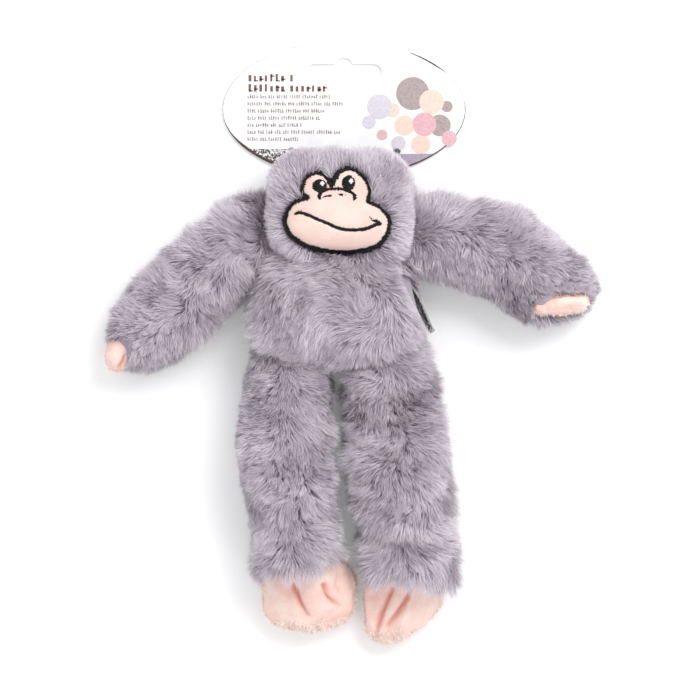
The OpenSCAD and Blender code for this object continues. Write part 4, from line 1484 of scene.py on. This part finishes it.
def strokes(left, low, length, height, pitch, chance):
    """A line of plain upright strokes in groups, as a line of print looks from far off."""
    made = []
    at = left
    while at < left + length:
        for _ in range(int(chance.integers(3, 8))):
            if at > left + length:
                break
            tall = height * chance.uniform(0.65, 1.0)
            wide = pitch * chance.uniform(0.35, 0.6)
            made.append(bar_at(at, at + wide, low, low + tall))
            if chance.random() < 0.6:
                foot = low + chance.choice([0.0, 0.4, 0.8]) * (tall - 0.2 * height)
                made.append(bar_at(at, at + pitch * 0.8, foot, foot + 0.16 * height))
            at += pitch
        at += pitch * 0.7
    return made


chance = np.random.default_rng(71)
heading_ink = offset_ink("brown_ink", (0.3, "#6d4640"), (0.75, "#875e57"))
line_ink = offset_ink("grey_brown_ink", (0.3, "#8f7f7b"), (0.75, "#b3a5a1"))
CARD_LEFT = card_mid[0] - 40.5
HEADING_Y = card_mid[1] + 11.8
HEADING_TALL = 3.3
HEADING_STROKE = 2.3
headings = strokes(CARD_LEFT, HEADING_Y, 20.0, HEADING_TALL, HEADING_STROKE, chance)
headings += strokes(CARD_LEFT, HEADING_Y - 4.3, 33.0, HEADING_TALL, HEADING_STROKE, chance)
printed("card_heading", headings, heading_ink)
LINE_PITCH = 3.0
LINE_TALL = 1.7
LINE_STROKE = 0.95
LINE_LENGTHS = [35.0, 40.0, 33.0, 30.5, 22.5, 39.0, 22.0]
lines = []
for i, length in enumerate(LINE_LENGTHS):
    lines += strokes(CARD_LEFT - 0.4, card_mid[1] + 4.6 - i * LINE_PITCH, length,
                     LINE_TALL, LINE_STROKE, chance)
lines += strokes(card_mid[0] + 7.0, card_mid[1] - 19.0, 7.0, LINE_TALL - 0.1, LINE_STROKE, chance)
printed("card_lines", lines, line_ink)

BAND_IN = 0.3


def foot_band(down, last, side):
    """A band at the card's foot: its edge from a level to an angle short of the lowest place."""
    turns = np.linspace(math.degrees(math.asin(-down / card_half[1])), last, 40)
    edge = [oval_point(t if side == "right" else 180 - t, BAND_IN) for t in turns]
    return edge + [(edge[-1][0], card_mid[1] - down)]


printed("card_speckled_band", [foot_band(17.0, -88, "left")], offset_ink(
    "speckled_brown_ink", (0.46, "#3a2e2b"), (0.51, "#b5aca9"), (0.56, "#f4f2f0"), spot_mm=0.6))
printed("card_mauve_band", [foot_band(19.0, -70, "right")], offset_ink(
    "mauve_ink", (0.3, "#a698aa"), (0.75, "#b8abba")))

# Each print lies a little above the last one under it, so that none cuts through another.
# The strips along the card's edge are painted shadow of its cut edge, and the dark strips are partly a
# printed border line as well.
dark_rim_print_and_shadow_ink = offset_ink("dark_rim_print_and_painted_shadow", (0.3, "#35241f"), (0.75, "#5a423b"))
rim_shadow_ink = offset_ink("grey_rim_painted_shadow", (0.3, "#a5a3a1"), (0.75, "#c4c2c0"))
dark_rim_print_and_shadow_strips = [(188, 240, [0.15, 0.5, 1.2, 1.3, 0.9]), (-62, 6, [0.8, 0.6, 0.35, 0.25]),
               (33, 57, [0.2, 0.7, 0.6, 0.3])]
rim_shadow_strips = [(57, 188, [0.12, 0.18, 0.3]), (6, 33, [0.2, 0.2])]
RIM_LIFT = 0.03
printed("card_dark_rim_print_and_shadow", [rim_strip(*strip) for strip in dark_rim_print_and_shadow_strips], dark_rim_print_and_shadow_ink, lift=RIM_LIFT)
printed("card_rim_painted_shadow", [rim_strip(*strip) for strip in rim_shadow_strips], rim_shadow_ink, lift=RIM_LIFT)
PUNCHED_R = 1.35
# Dark discs over the punched holes where the pins pass: painted shadow in the holes.
hole_shadows = []
for node in ("tag_pin_right", "tag_pin_left"):
    low, high = span(node)
    hole_shadows.append(disc_at((low[0] + high[0]) / 2, high[1] - PUNCHED_R / 2, PUNCHED_R))
hole_shadow_ink = offset_ink("painted_hole_shadow", (0.3, "#4a4b50"), (0.75, "#66676c"))
printed("card_hole_shadows", hole_shadows, hole_shadow_ink, lift=0.16)
# Each colour of disc has its darkest and palest ink, and its discs' (across, up, radius).
SOFT_DISCS = {
    "taupe": ("#a08f8d", "#b7a8a6", [(26.0, 104.5, 7.0), (37.5, 91.0, 4.6), (40.5, 99.0, 2.4)]),
    "peach": ("#f0cbb9", "#f7dccf", [(34.0, 101.0, 5.2), (22.5, 91.0, 4.2), (17.5, 97.5, 3.0),
                                     (29.5, 83.0, 4.0)]),
    "rose": ("#dba6ae", "#e8bfc4", [(31.0, 91.5, 5.0), (41.5, 85.5, 3.2), (13.0, 87.0, 2.2)]),
    "lilac": ("#cfc8d3", "#ded9e1", [(12.0, 99.0, 5.2), (7.5, 92.5, 2.8), (20.0, 83.5, 3.0)]),
}
for lift, (name, (dark, pale, discs)) in enumerate(SOFT_DISCS.items()):
    printed(f"card_{name}_discs", [disc_at(x, y, r) for x, y, r in discs],
            offset_ink(f"{name}_ink", (0.3, dark), (0.7, pale)), lift=0.06 + 0.03 * lift)


# ======================================================================================
# Tag pins: fine nylon threads with a cross bar at each end, shot through the card and
# into the head. Smoke grey, and a little see-through.

smoke_nylon = mottled("smoke_nylon", 1.5, (0.3, "#4c4c50"), (0.7, "#6c6c71"), detail=2.0,
                      Roughness=0.28, IOR=1.53, Transmission_Weight=0.15)
for node in ("tag_pin_right", "tag_pin_left"):
    refinish(node, smoke_nylon)


# ======================================================================================
# Camera: straight above, with the head up.

SENSOR = 36.0
VIEW_WIDTH = 292.6
CAMERA_UP = 1400.0
LOOKED_AT_Z = 20.0
FRAME_MID = (-0.56, -4.14)
camera_data = bpy.data.cameras.new("camera")
camera_data.sensor_width = SENSOR
camera_data.lens = SENSOR * (CAMERA_UP - LOOKED_AT_Z) / VIEW_WIDTH
camera = bpy.data.objects.new("camera", camera_data)
camera.location = (FRAME_MID[0] * MM, FRAME_MID[1] * MM, CAMERA_UP * MM)
scene.collection.objects.link(camera)
scene.camera = camera


# ======================================================================================
# Studio: a pale seamless floor, soft light from all round, and one large softbox.

bm = bmesh.new()
FLOOR_HALF = 1.6
bmesh.ops.create_grid(bm, x_segments=1, y_segments=1, size=FLOOR_HALF)
floor = object_from("floor", bm)
pale_paper, _, shader = finish_of("pale_paper", Roughness=0.9, Specular_IOR_Level=0.1)
shader.inputs["Base Color"].default_value = srgb("#f6f6f5")
shader.inputs["Emission Color"].default_value = srgb("#f7f8fa")
shader.inputs["Emission Strength"].default_value = 0.14
floor.data.materials.append(pale_paper)

world = bpy.data.worlds.new("studio")
world.use_nodes = True
sky = world.node_tree.nodes["Background"]
sky.inputs["Color"].default_value = srgb("#f7f8fb")
sky.inputs["Strength"].default_value = 0.95
scene.world = world
softbox_data = bpy.data.lights.new("softbox", "AREA")
softbox_data.shape = "RECTANGLE"
softbox_data.size = 0.7
softbox_data.size_y = 0.5
softbox_data.energy = 7.0
softbox = bpy.data.objects.new("softbox", softbox_data)
softbox.location = (0.45, 0.55, 0.9)
softbox.rotation_euler = (-softbox.location).to_track_quat("-Z", "Y").to_euler()
scene.collection.objects.link(softbox)
scene.view_settings.view_transform = "Standard"
